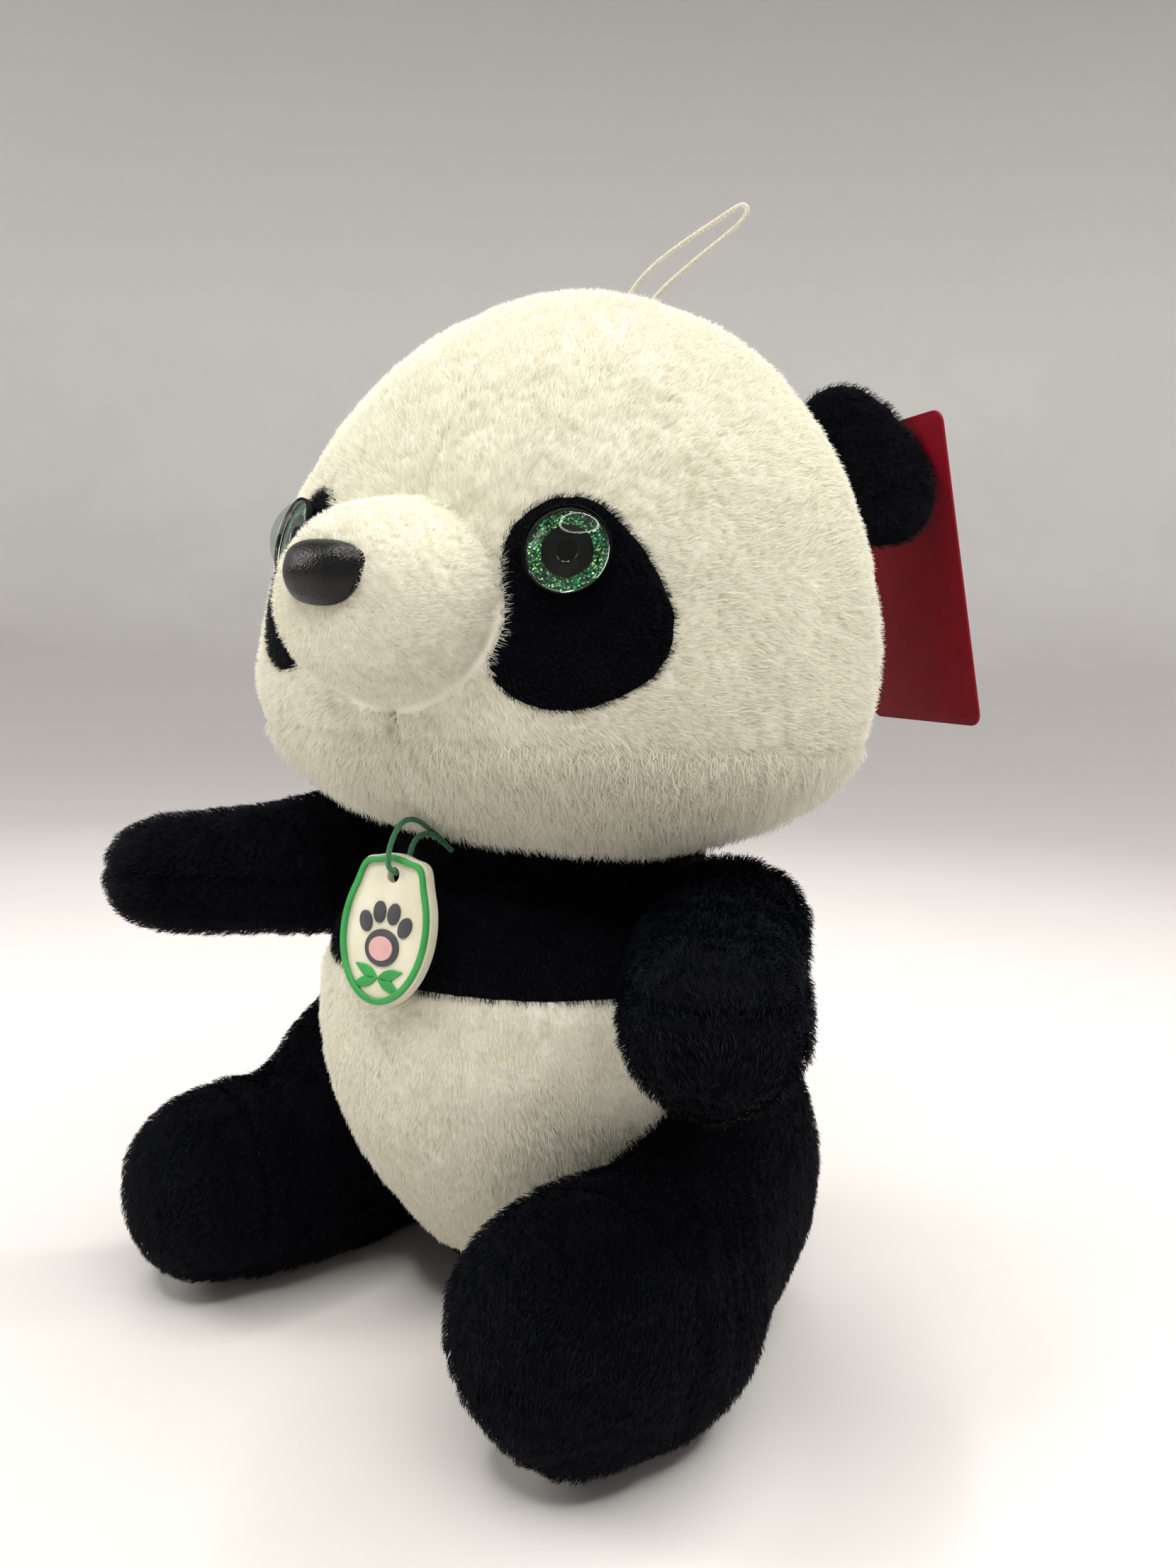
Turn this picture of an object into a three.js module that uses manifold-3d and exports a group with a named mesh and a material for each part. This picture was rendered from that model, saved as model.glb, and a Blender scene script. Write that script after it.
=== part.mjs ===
// Seated plush panda, about 30 cm tall, as an assembly of sewn covers, stuffing and fittings.
// Millimetres. +Z is up, -Y is the way the panda faces and +X is the panda's left.
// The origin is on the floor, under the middle of the seat.

import * as THREE from 'three';
import { mergeVertices } from 'three/addons/utils/BufferGeometryUtils.js';
import Module from 'manifold-3d';

const wasm = await Module();
wasm.setup();

// ---------------------------------------------------------------- driving dimensions

const FABRIC = 3;              // plush backing and its pile, pressed flat
const GAP = 0.4;               // play between two pieces that touch
const LEFT = 1;                // the side sign of the panda's left
const RIGHT = -1;

const HEAD = {
  middle: 182,                 // height of the widest level
  crown: 106,                  // from the widest level up to the crown
  jowl: 43,                    // from the widest level down to the underside
  halfWidth: 95,
  frontDepth: 75,
  backDepth: 73,
  jowlSquareness: 2.4,         // 2 is a plain ellipse
  tilt: THREE.MathUtils.degToRad(4),
};

const NECK = {
  pivot: 148,                  // centre of the ball that the head sits on
  ballRadius: 23,
  stemRadius: 15,
  footRadius: 24,
  footBottom: 114,
  footTop: 126,
};

const MUZZLE = {
  level: 200,
  halfWidth: 31,
  halfHeight: 27,
  reach: 98,                   // from the head's axis to the tip
  root: 52,
};

const NOSE = { halfWidth: 13, halfHeight: 9.5, depth: 8, y: -96.5, z: 206, pitch: 0.3 };
const EYE = { radius: 10, dome: 5.5, stemRadius: 2.2, stemLength: 16, x: 44, z: 215.6 };
const PATCH = { thickness: 1.6, down: 11.8, out: 2.3, halfWidth: 18, halfHeight: 21.5 };

const EAR = { halfWidth: 27, height: 29, layer: 3.6, cup: 6, turn: 47, level: 242, lean: 0.45 };
const LOOP = { diameter: 1.4 };
const TAG = {
  width: 56,
  height: 90,
  card: 0.8,
  hole: 2,
  fromTop: 6,
  corner: 4,
  lean: 0.215,                 // its foot is pushed back by the head
  turn: -0.634,                // from +X to the way its top edge runs
  hook: new THREE.Vector3(68.9, 68.9, 254.3),
};

const SHOULDER = { x: 50, y: -8, z: 121, envelope: 38 };
const ARM = { length: 92, rootRadius: 22, pawRadius: 21, flatness: 0.9 };
const HIP = { x: 33, y: 8, z: 46, splay: { left: 8, right: 13 }, envelope: 56, inside: 82 };
// The left foot bends inward over this stretch of the leg, which is measured forward from the hip.
const FOOT = { turnFrom: -57, turnTo: -85, inward: { left: 9, right: 0 } };

const MEDAL = {
  x: 1.5,
  halfWidth: 15,
  halfHeight: 19,
  plate: 2.4,
  rim: 1.9,
  rimHeight: 1,
  hole: 2,
  bar: 1.6,                    // from the cord's place on the bar up to the medal's top edge
  lean: 0.2,
};
const STRING = { diameter: 1.4 };

// ---------------------------------------------------------------- colours

function cloth(colour) {
  return new THREE.MeshStandardMaterial({ color: colour, roughness: 0.95, metalness: 0 });
}

function plastic(colour, roughness, opacity = 1) {
  const transparent = opacity < 1;
  return new THREE.MeshStandardMaterial({ color: colour, roughness, metalness: 0, transparent, opacity });
}

const WHITE_PLUSH = '#ece9dc';
const BLACK_PLUSH = '#16171d';
const FIBRE_FILL = '#f4f4f2';

// ---------------------------------------------------------------- mesh and solid helpers

const { cos, sin, abs, sign, sqrt, PI } = Math;
const mix = THREE.MathUtils.lerp;
const point = (x, y, z) => new THREE.Vector3(x, y, z);

/** A power of a signed number that keeps its sign, for rounded-square outlines. */
function signedPower(value, power) {
  return sign(value) * abs(value) ** power;
}

/** Joins the rows of a grid of points into triangles, leaving out those that shrink to a point. */
function geometryOf(rows, closedRound) {
  const corners = [];
  const addTriangle = (a, b, c) => {
    const flat = a.distanceTo(b) < 1e-5 || b.distanceTo(c) < 1e-5 || c.distanceTo(a) < 1e-5;
    if (!flat) corners.push(a.x, a.y, a.z, b.x, b.y, b.z, c.x, c.y, c.z);
  };
  for (let r = 0; r + 1 < rows.length; r += 1) {
    const count = rows[r].length;
    for (let c = 0; c < (closedRound ? count : count - 1); c += 1) {
      const next = (c + 1) % count;
      addTriangle(rows[r][c], rows[r][next], rows[r + 1][next]);
      addTriangle(rows[r][c], rows[r + 1][next], rows[r + 1][c]);
    }
  }
  const geometry = new THREE.BufferGeometry();
  geometry.setAttribute('position', new THREE.Float32BufferAttribute(corners, 3));
  return facingOut(mergeVertices(geometry, 1e-4));
}

/** Six times the signed volume that a closed mesh holds; negative when its faces point in. */
function signedVolume(geometry) {
  const place = geometry.attributes.position;
  const index = geometry.index;
  const corner = [point(0, 0, 0), point(0, 0, 0), point(0, 0, 0)];
  let total = 0;
  for (let i = 0; i < index.count; i += 3) {
    corner.forEach((vector, k) => vector.fromBufferAttribute(place, index.getX(i + k)));
    total += corner[0].dot(corner[1].clone().cross(corner[2]));
  }
  return total;
}

function facingOut(geometry) {
  if (signedVolume(geometry) < 0) {
    const order = geometry.index.array;
    for (let i = 0; i < order.length; i += 3) {
      [order[i], order[i + 1]] = [order[i + 1], order[i]];
    }
  }
  return geometry;
}

/** A closed blob: place(turn, rise) with turn once round and rise from one pole, 0, to the other, 1. */
function blob(place, columns, rows) {
  const grid = [];
  for (let r = 0; r <= rows; r += 1) {
    const atPole = r === 0 || r === rows;
    const pole = place(0, r / rows);
    const row = [];
    for (let c = 0; c < columns; c += 1) {
      row.push(atPole ? pole : place((c / columns) * 2 * PI, r / rows));
    }
    grid.push(row);
  }
  return geometryOf(grid, true);
}

/** A round sheet with thickness: each face is place(turn, reach), with reach from 0, its middle, to 1. */
function disc(outer, inner, columns, rings) {
  const grid = [];
  const addRing = (face, reach) => {
    const middle = face(0, 0);
    const row = [];
    for (let c = 0; c < columns; c += 1) {
      row.push(reach === 0 ? middle : face((c / columns) * 2 * PI, reach));
    }
    grid.push(row);
  };
  for (let r = 0; r <= rings; r += 1) addRing(outer, r / rings);
  for (let r = rings; r >= 0; r -= 1) addRing(inner, r / rings);
  return geometryOf(grid, true);
}

/** A turned shape about +Z from [radius, height] pairs that start and end on the axis or close up. */
function turned(profile, segments = 16) {
  const outline = profile.map(([radius, height]) => new THREE.Vector2(radius, height));
  return new THREE.LatheGeometry(outline, segments).rotateX(PI / 2);
}

/** A ring-shaped washer or disc about +Z. */
function ring(innerRadius, outerRadius, low, high, segments = 14) {
  return turned([[innerRadius, low], [outerRadius, low], [outerRadius, high], [innerRadius, high],
    [innerRadius, low]], segments);
}

/** A plain round plug about +Z. */
function plug(radius, low, high, segments = 12) {
  return turned([[0, low], [radius, low], [radius, high], [0, high]], segments);
}

/** A cord of the given diameter along smooth points. */
function cordAlong(points, diameter, steps) {
  const section = new THREE.Shape();
  section.absarc(0, 0, diameter / 2, 0, 2 * PI);
  const extrudePath = new THREE.CatmullRomCurve3(points);
  return new THREE.ExtrudeGeometry(section, { steps, curveSegments: 4, bevelEnabled: false, extrudePath });
}

function solidOf(geometry) {
  const bare = new THREE.BufferGeometry();
  bare.setAttribute('position', geometry.attributes.position.clone());
  if (geometry.index) bare.setIndex(geometry.index.clone());
  const joined = facingOut(mergeVertices(bare, 1e-4));
  const triVerts = Uint32Array.from(joined.index.array);
  const vertProperties = Float32Array.from(joined.attributes.position.array);
  return new wasm.Manifold(new wasm.Mesh({ numProp: 3, vertProperties, triVerts }));
}

function geometryFrom(solid) {
  const mesh = solid.getMesh();
  const geometry = new THREE.BufferGeometry();
  geometry.setAttribute('position', new THREE.Float32BufferAttribute(Array.from(mesh.vertProperties), 3));
  geometry.setIndex(Array.from(mesh.triVerts));
  geometry.computeVertexNormals();
  return geometry;
}

/** The same geometry moved by a matrix, as a solid. */
function placedSolid(geometry, matrix) {
  return solidOf(geometry.clone().applyMatrix4(matrix));
}

/** A rod from one point to another, as a solid to cut with. */
function rod(from, to, radius, segments = 16) {
  const along = to.clone().sub(from);
  const cylinder = new THREE.CylinderGeometry(radius, radius, along.length(), segments);
  const turn = new THREE.Quaternion().setFromUnitVectors(point(0, 1, 0), along.normalize());
  const middle = from.clone().add(to).multiplyScalar(0.5);
  return placedSolid(cylinder, new THREE.Matrix4().compose(middle, turn, point(1, 1, 1)));
}

function block(low, high) {
  const size = high.clone().sub(low);
  const box = new THREE.BoxGeometry(size.x, size.y, size.z);
  const middle = low.clone().add(high).multiplyScalar(0.5);
  return solidOf(box.translate(middle.x, middle.y, middle.z));
}

function ball(centre, radius, segments = 18) {
  const sphere = new THREE.SphereGeometry(radius, segments, Math.round(segments / 2));
  return solidOf(sphere.translate(centre.x, centre.y, centre.z));
}

const subtractAll = (solid, cutters) => cutters.reduce((rest, cutter) => rest.subtract(cutter), solid);

// ---------------------------------------------------------------- the assembly tree

const panda = new THREE.Group();
const head = new THREE.Group();
head.position.set(0, 0, NECK.pivot);
head.rotation.y = HEAD.tilt;
panda.add(head);

// The same lean as a matrix, for pieces outside the head group that meet it.
const leaning = new THREE.Matrix4().makeTranslation(0, 0, NECK.pivot)
  .multiply(new THREE.Matrix4().makeRotationY(HEAD.tilt))
  .multiply(new THREE.Matrix4().makeTranslation(0, 0, -NECK.pivot));

/** Adds a named piece to a group. */
function addPiece(group, name, geometry, material) {
  const mesh = new THREE.Mesh(geometry, material);
  mesh.name = name;
  group.add(mesh);
  return mesh;
}

/** Head pieces are drawn upright about the floor origin, then carried by the leaning head group. */
function addHeadPiece(name, geometry, material) {
  return addPiece(head, name, geometry.translate(0, 0, -NECK.pivot), material);
}

// ---------------------------------------------------------------- head

/** Head surface: turn goes round from +X, rise from the underside pole, 0, to the crown, 1. */
function headPoint(turn, rise, inset = 0) {
  const angle = (rise - 0.42) * (rise < 0.42 ? (PI / 2) / 0.42 : (PI / 2) / 0.58);
  const power = rise < 0.42 ? 2 / HEAD.jowlSquareness : 1;
  const spread = abs(cos(angle)) ** power;
  const lift = signedPower(sin(angle), power);
  const depth = sin(turn) < 0 ? HEAD.frontDepth : HEAD.backDepth;
  return point(
    (HEAD.halfWidth - inset) * spread * cos(turn),
    (depth - inset) * spread * sin(turn),
    HEAD.middle + lift * ((rise < 0.42 ? HEAD.jowl : HEAD.crown) - inset),
  );
}

/** How far the head's skin reaches at a sideways place x and height z: the y of its front, negative. */
function faceFront(x, z, proud = 0) {
  const above = z > HEAD.middle;
  const share = abs(z - HEAD.middle) / ((above ? HEAD.crown : HEAD.jowl) + proud);
  const power = above ? 2 : HEAD.jowlSquareness;
  const level = (1 - share ** power) ** (2 / power);
  return -(HEAD.frontDepth + proud) * sqrt(Math.max(level - (x / (HEAD.halfWidth + proud)) ** 2, 0));
}

const headSkin = solidOf(blob((turn, rise) => headPoint(turn, rise), 20, 12));
const headHollow = solidOf(blob((turn, rise) => headPoint(turn, rise, FABRIC), 20, 12));
const headFill = solidOf(blob((turn, rise) => headPoint(turn, rise, FABRIC + GAP), 20, 12));
const headAround = solidOf(blob((turn, rise) => headPoint(turn, rise, -1.5), 20, 12));

const neckPivot = point(0, 0, NECK.pivot);
const neckOpening = rod(point(0, 0, NECK.footTop - 20), neckPivot, 33, 18);
const neckBallRoom = ball(neckPivot, NECK.ballRadius + 1.4);
const neckStemRoom = placedSolid(
  new THREE.CylinderGeometry(NECK.stemRadius + 2, 33, 24, 18),
  new THREE.Matrix4().makeRotationX(PI / 2).setPosition(0, 0, NECK.pivot - 17),
);

/** The muzzle: a short rounded cone whose nose end sits a little higher than its root. */
function muzzlePoint(turn, rise, inset = 0) {
  const along = sin((rise * PI) / 2);
  const taper = sqrt(Math.max(1 - rise ** 3, 0));
  const reach = mix(MUZZLE.root, MUZZLE.reach - inset, along);
  const slim = mix(1, 0.83, along);
  return point(
    (MUZZLE.halfWidth - inset) * taper * slim * cos(turn),
    -reach,
    MUZZLE.level + 1.5 * along + (MUZZLE.halfHeight - inset) * taper * slim * sin(turn),
  );
}

/** A muzzle-shaped solid, closed by a flat disc at its root. */
function muzzleSolid(inset) {
  const root = () => point(0, -MUZZLE.root, MUZZLE.level);
  const skin = (turn, rise) => (rise === 0 ? root() : muzzlePoint(turn, (rise - 0.1) / 0.9, inset));
  return solidOf(blob(skin, 16, 8));
}

const noseTilt = new THREE.Matrix4().makeRotationX(PI / 2 - NOSE.pitch).setPosition(0, NOSE.y, NOSE.z);
const noseStemRoom = placedSolid(plug(2.7, -26, 10), noseTilt);
const noseWasherRoom = placedSolid(plug(8, -26, -9.4), noseTilt);

const muzzleOuter = muzzleSolid(0).subtract(headAround);
const muzzleInner = muzzleSolid(FABRIC);
const muzzleFill = muzzleSolid(FABRIC + GAP).subtract(headAround);
addHeadPiece('muzzle_cover', geometryFrom(muzzleOuter.subtract(muzzleInner).subtract(noseStemRoom)),
  cloth(WHITE_PLUSH));
addHeadPiece('muzzle_stuffing', geometryFrom(subtractAll(muzzleFill, [noseStemRoom, noseWasherRoom])),
  cloth(FIBRE_FILL));

/** The frame of one eye: its +Z is the way it looks, straight out of the face. */
function eyeFrame(side) {
  const x = side * EYE.x;
  const y = faceFront(EYE.x, EYE.z, PATCH.thickness + 1.2);
  const outward = point(
    x / HEAD.halfWidth ** 2,
    y / HEAD.frontDepth ** 2,
    (EYE.z - HEAD.middle) / HEAD.crown ** 2,
  ).normalize();
  const turn = new THREE.Quaternion().setFromUnitVectors(point(0, 0, 1), outward);
  return new THREE.Matrix4().compose(point(x, y, EYE.z), turn, point(1, 1, 1));
}

/** Clear dome with the stem moulded on its back. */
function eyeLens() {
  const profile = [[0, -EYE.stemLength], [EYE.stemRadius, -EYE.stemLength], [EYE.stemRadius, 1.8]];
  profile.push([EYE.radius, 1.8], [EYE.radius, 2.5]);
  for (let step = 1; step <= 5; step += 1) {
    const angle = (step / 5) * (PI / 2);
    profile.push([step === 5 ? 0 : EYE.radius * cos(angle), 2.5 + (EYE.dome - 0.7) * sin(angle)]);
  }
  return turned(profile, 20);
}

const stemHole = EYE.stemRadius + 0.4;
const eyeParts = [
  ['lens', eyeLens, plastic('#dfe8e4', 0.05, 0.3)],
  ['pupil', () => ring(stemHole, 6.2, 1.2, 1.6), plastic('#07080a', 0.15)],
  ['glitter_disc', () => ring(stemHole, 9.6, 0.3, 1, 20), plastic('#1f7a52', 0.3)],
  ['washer', () => ring(stemHole, 7.5, -13, -11.4), plastic('#e8e8e4', 0.5)],
];

for (const [sideName, side] of [['left', LEFT], ['right', RIGHT]]) {
  for (const [partName, makePart, material] of eyeParts) {
    addHeadPiece(`eye_${partName}_${sideName}`, makePart().applyMatrix4(eyeFrame(side)), material);
  }
}

/** The black pile round one eye: an oval that hangs down and outward from the eye. */
function patchPoint(side, turn, reach, proud) {
  const narrow = 1 - 0.2 * sin(turn);
  const across = reach * PATCH.halfWidth * narrow * cos(turn);
  const up = reach * PATCH.halfHeight * sin(turn);
  const x = EYE.x + PATCH.out + across - 0.24 * up;
  const z = EYE.z - PATCH.down + up;
  return point(side * x, faceFront(x, z, proud), z);
}

const muzzleRoom = muzzleSolid(-1.2);
for (const [sideName, side] of [['left', LEFT], ['right', RIGHT]]) {
  const patch = disc(
    (turn, reach) => patchPoint(side, turn, reach, PATCH.thickness + 0.6),
    (turn, reach) => patchPoint(side, turn, reach, 0.6),
    18,
    3,
  );
  const stemRoom = placedSolid(plug(stemHole, -20, 2), eyeFrame(side));
  addHeadPiece(`eye_patch_${sideName}`, geometryFrom(subtractAll(solidOf(patch), [muzzleRoom, stemRoom])),
    cloth(BLACK_PLUSH));
}

const eyeStemRooms = [LEFT, RIGHT].map((side) => placedSolid(plug(stemHole, -20, 2), eyeFrame(side)));
const eyeWasherRooms = [LEFT, RIGHT].map((side) => placedSolid(plug(8, -20, -6), eyeFrame(side)));
const headShell = subtractAll(headSkin.subtract(headHollow), [neckOpening, ...eyeStemRooms]);
for (const [sideName, side] of [['left', LEFT], ['right', RIGHT]]) {
  const far = side * 120;
  const near = side * 0.2;
  const half = block(point(Math.min(near, far), -120, 100), point(Math.max(near, far), 120, 320));
  addHeadPiece(`head_cover_${sideName}`, geometryFrom(headShell.intersect(half)), cloth(WHITE_PLUSH));
}
addHeadPiece('head_stuffing',
  geometryFrom(subtractAll(headFill, [neckBallRoom, neckStemRoom, ...eyeStemRooms, ...eyeWasherRooms])),
  cloth(FIBRE_FILL));

/** The moulded nose: a rounded triangle, flatter below, with its stem. */
function noseBody() {
  const face = (turn, reach) => {
    const width = NOSE.halfWidth * (1 + 0.12 * sin(turn) - 0.08 * cos(2 * turn));
    return point(
      width * signedPower(cos(turn), 0.85) * sin((reach * PI) / 2),
      NOSE.halfHeight * signedPower(sin(turn), 0.85) * sin((reach * PI) / 2),
      NOSE.depth * cos((reach * PI) / 2) + 0.6,
    );
  };
  const back = (turn, reach) => {
    const edge = face(turn, 1);
    return point(edge.x * reach, edge.y * reach, -0.6);
  };
  return disc(face, back, 16, 4);
}

const noseStem = placedSolid(plug(2.2, -15, NOSE.depth - 1), noseTilt);
const noseCap = placedSolid(noseBody(), noseTilt).subtract(muzzleSolid(-GAP));
addHeadPiece('nose', geometryFrom(noseCap.add(noseStem)), plastic('#1c1c1e', 0.35));
addHeadPiece('nose_washer', ring(2.7, 7.5, -13.4, -11.8).applyMatrix4(noseTilt), plastic('#e8e8e4', 0.5));

// ---------------------------------------------------------------- ears

/** The frame of one ear: x along its root, y out of the head and z towards the way the panda faces. */
function earFrame(side) {
  const turn = THREE.MathUtils.degToRad(EAR.turn);
  const share = (EAR.level - HEAD.middle) / HEAD.crown;
  const spread = sqrt(1 - share ** 2);
  const seat = point(side * HEAD.halfWidth * spread * cos(turn), HEAD.backDepth * spread * sin(turn), EAR.level);
  const outward = point(side * cos(turn), sin(turn) * 0.75, EAR.lean).normalize();
  const facing = point(side * -0.1, -0.98, 0.1);
  facing.addScaledVector(outward, -facing.dot(outward)).normalize();
  const along = outward.clone().cross(facing);
  return new THREE.Matrix4().makeBasis(along, outward, facing).setPosition(seat);
}

/** Ear outline: a wide half-oval that starts a little inside its root. */
function earPoint(turn, reach, lift) {
  const x = EAR.halfWidth * reach * cos(turn);
  const y = EAR.height * (0.42 + 0.58 * reach * signedPower(sin(turn), 0.9));
  return point(x, y, lift + EAR.cup * ((x / EAR.halfWidth) ** 2) + 0.004 * y * y);
}

for (const [sideName, side] of [['left', LEFT], ['right', RIGHT]]) {
  for (const [layerName, face] of [['front', 1], ['back', -1]]) {
    const crown = (reach) => 0.6 + EAR.layer * sqrt(1 - reach ** 2);
    const layer = disc(
      (turn, reach) => earPoint(turn, reach, face * (0.2 + crown(reach))),
      (turn, reach) => earPoint(turn, reach, face * 0.2),
      18,
      3,
    );
    addHeadPiece(`ear_${layerName}_${sideName}`,
      geometryFrom(placedSolid(layer, earFrame(side)).subtract(headAround)), cloth(BLACK_PLUSH));
  }
}

// ---------------------------------------------------------------- swing tag behind the left ear

/** The card's frame: x across it, y up it and z towards the ear, with its hole at the origin. */
function tagFrame() {
  return new THREE.Matrix4().makeRotationZ(TAG.turn).setPosition(TAG.hook)
    .multiply(new THREE.Matrix4().makeRotationX(PI / 2 + TAG.lean));
}

function tagCard() {
  const right = TAG.width / 2;
  const top = TAG.fromTop;
  const left = right - TAG.width;
  const bottom = top - TAG.height;
  const outline = new THREE.Shape();
  const corner = TAG.corner;
  outline.absarc(right - corner, top - corner, corner, 0, PI / 2);
  outline.absarc(left + corner, top - corner, corner, PI / 2, PI);
  outline.absarc(left + corner, bottom + corner, corner, PI, 1.5 * PI);
  outline.absarc(right - corner, bottom + corner, corner, 1.5 * PI, 2 * PI);
  const hole = new THREE.Path();
  hole.absarc(0, 0, TAG.hole, 0, 2 * PI, true);
  outline.holes.push(hole);
  const card = new THREE.ExtrudeGeometry(outline, { depth: TAG.card, bevelEnabled: false, curveSegments: 5 });
  return card.translate(0, 0, -TAG.card / 2);
}

addPiece(panda, 'swing_tag', tagCard().applyMatrix4(tagFrame()), plastic('#7a1420', 0.45));

/** The nylon fastener: a thin shank from the ear's back through the card, with a bar behind it. */
function tagPin() {
  const frame = tagFrame();
  const root = point(7, EAR.height * 0.5, -EAR.layer - 2).applyMatrix4(earFrame(LEFT)).applyMatrix4(leaning);
  const shank = [2.5, -1.8].map((z) => point(0, 0, z).applyMatrix4(frame));
  const bar = [-4, 4].map((x) => point(x, 0, -1.8).applyMatrix4(frame));
  return rod(root, shank[0], 0.6, 8).add(ball(shank[0], 0.62, 8)).add(rod(shank[0], shank[1], 0.6, 8))
    .add(rod(bar[0], bar[1], 0.8, 8));
}

addPiece(panda, 'tag_pin', geometryFrom(tagPin()), plastic('#e9e6dc', 0.4));

// ---------------------------------------------------------------- hang loop on the crown

const loopRoute = [
  [-10, 23, 285], [-9.2, 23.5, 289], [-6, 24.5, 296.5], [-0.5, 25.5, 303], [7, 26.3, 308], [14, 27, 312],
  [20, 27.3, 315], [24.5, 27.5, 317.3], [27.5, 27.8, 318.6], [29.2, 28.2, 317], [27.5, 28.6, 314.4],
  [22.5, 28.8, 311], [16.5, 28.5, 307.2], [9, 28, 302], [2.5, 27, 296.5], [-2, 25.3, 290], [-3.6, 24.2, 285],
].map(([x, y, z]) => point(x, y, z));
addHeadPiece('hang_loop', cordAlong(loopRoute, LOOP.diameter, 26), cloth('#e4dcc4'));

// ---------------------------------------------------------------- neck

const neckProfile = [[0, NECK.footBottom], [NECK.footRadius, NECK.footBottom],
  [NECK.footRadius, NECK.footTop], [NECK.stemRadius, NECK.footTop + 3]];
for (let step = 0; step <= 6; step += 1) {
  const low = Math.asin(-sqrt(1 - (NECK.stemRadius / NECK.ballRadius) ** 2));
  const angle = mix(low, PI / 2, step / 6);
  const radius = step === 6 ? 0 : NECK.ballRadius * cos(angle);
  neckProfile.push([radius, NECK.pivot + NECK.ballRadius * sin(angle)]);
}
addHeadPiece('neck_stuffing', turned(neckProfile, 18), cloth(FIBRE_FILL));

// ---------------------------------------------------------------- torso

// Height, half width, front and back of the torso at each level, from the seat up to the neck.
const TORSO_LEVELS = [
  [0, 28, -12, 44], [5, 37, -18, 53], [16, 45, -30, 60], [30, 53, -43, 64], [46, 59, -55, 65],
  [66, 63, -65, 63], [86, 64, -69, 60], [104, 62, -68, 57], [118, 56, -63, 52], [127, 47, -55, 43],
  [132, 33, -40, 30],
];

/** Torso skin at a turn round from +X and a height, pulled in by inset. */
function torsoPoint(turn, height, inset = 0) {
  let level = 1;
  while (level < TORSO_LEVELS.length - 1 && TORSO_LEVELS[level][0] < height) level += 1;
  const [lowHeight, ...low] = TORSO_LEVELS[level - 1];
  const [highHeight, ...high] = TORSO_LEVELS[level];
  const share = (height - lowHeight) / (highHeight - lowHeight);
  const [halfWidth, front, back] = low.map((value, k) => mix(value, high[k], share));
  const middle = (front + back) / 2;
  const halfDepth = (back - front) / 2;
  return point((halfWidth - inset) * cos(turn), middle + (halfDepth - inset) * sin(turn), height);
}

/** A torso-shaped solid between its flat seat and its flat neck end. */
function torsoSolid(inset) {
  const top = TORSO_LEVELS.at(-1)[0] - inset;
  const heights = TORSO_LEVELS.map(([height]) => Math.min(Math.max(height, inset), top));
  const skin = (turn, rise) => {
    const step = Math.round(rise * (heights.length + 1));
    if (step === 0) return point(0, 13, heights[0]);
    if (step === heights.length + 1) return point(0, 0, top);
    return torsoPoint(turn, heights[step - 1], inset);
  };
  return solidOf(blob(skin, 20, heights.length + 1));
}

/** The room that a limb's root turns in, beside the torso: a thick disc on the joint's axis. */
function limbRoom(pivot, axis, radius) {
  return rod(pivot, pivot.clone().addScaledVector(axis, 60), radius, 24);
}

const hipTurn = (side) => THREE.MathUtils.degToRad(side === LEFT ? HIP.splay.left : HIP.splay.right);
const hipAxis = (side) => point(side * cos(hipTurn(side)), sin(hipTurn(side)), 0);
const hipPivot = (side) => point(side * HIP.x, HIP.y, HIP.z);
const shoulderAxis = (side) => point(side, 0, 0);
const shoulderPivot = (side) => point(side * SHOULDER.x, SHOULDER.y, SHOULDER.z);
const limbRooms = [LEFT, RIGHT].flatMap((side) => [
  limbRoom(hipPivot(side), hipAxis(side), HIP.envelope),
  limbRoom(shoulderPivot(side), shoulderAxis(side), SHOULDER.envelope),
]);

const neckRoomProfile = [[0, NECK.footBottom - GAP], [NECK.footRadius + GAP, NECK.footBottom - GAP],
  [NECK.footRadius + GAP, 150], [0, 150]];
const neckRoom = placedSolid(turned(neckRoomProfile, 24), leaning);

const torsoShell = subtractAll(torsoSolid(0).subtract(torsoSolid(FABRIC)), [neckRoom, ...limbRooms]);
const torsoFill = subtractAll(torsoSolid(FABRIC + GAP), [neckRoom, ...limbRooms]);

const BAND_EDGE = 105;         // the height where the black chest meets the white belly
const SIDE_SEAM = 12;          // how far back of the middle the front panels reach
const SEAT_EDGE = 20;          // the height where the belly and back meet the seat panel
const seam = 0.15;
const inFront = (low, high) => block(point(-80, -90, low), point(80, SIDE_SEAM - seam, high));
addPiece(panda, 'chest_panel', geometryFrom(torsoShell.intersect(inFront(BAND_EDGE + seam, 160))),
  cloth(BLACK_PLUSH));
addPiece(panda, 'belly_panel',
  geometryFrom(torsoShell.intersect(inFront(SEAT_EDGE + seam, BAND_EDGE - seam))), cloth(WHITE_PLUSH));
const behind = block(point(-80, SIDE_SEAM + seam, SEAT_EDGE + seam), point(80, 90, 160));
addPiece(panda, 'back_panel', geometryFrom(torsoShell.intersect(behind)), cloth(BLACK_PLUSH));
const below = block(point(-80, -90, -1), point(80, 90, SEAT_EDGE - seam));
addPiece(panda, 'seat_panel', geometryFrom(torsoShell.intersect(below)), cloth(BLACK_PLUSH));
addPiece(panda, 'torso_stuffing', geometryFrom(torsoFill), cloth(FIBRE_FILL));

// ---------------------------------------------------------------- limbs

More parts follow.
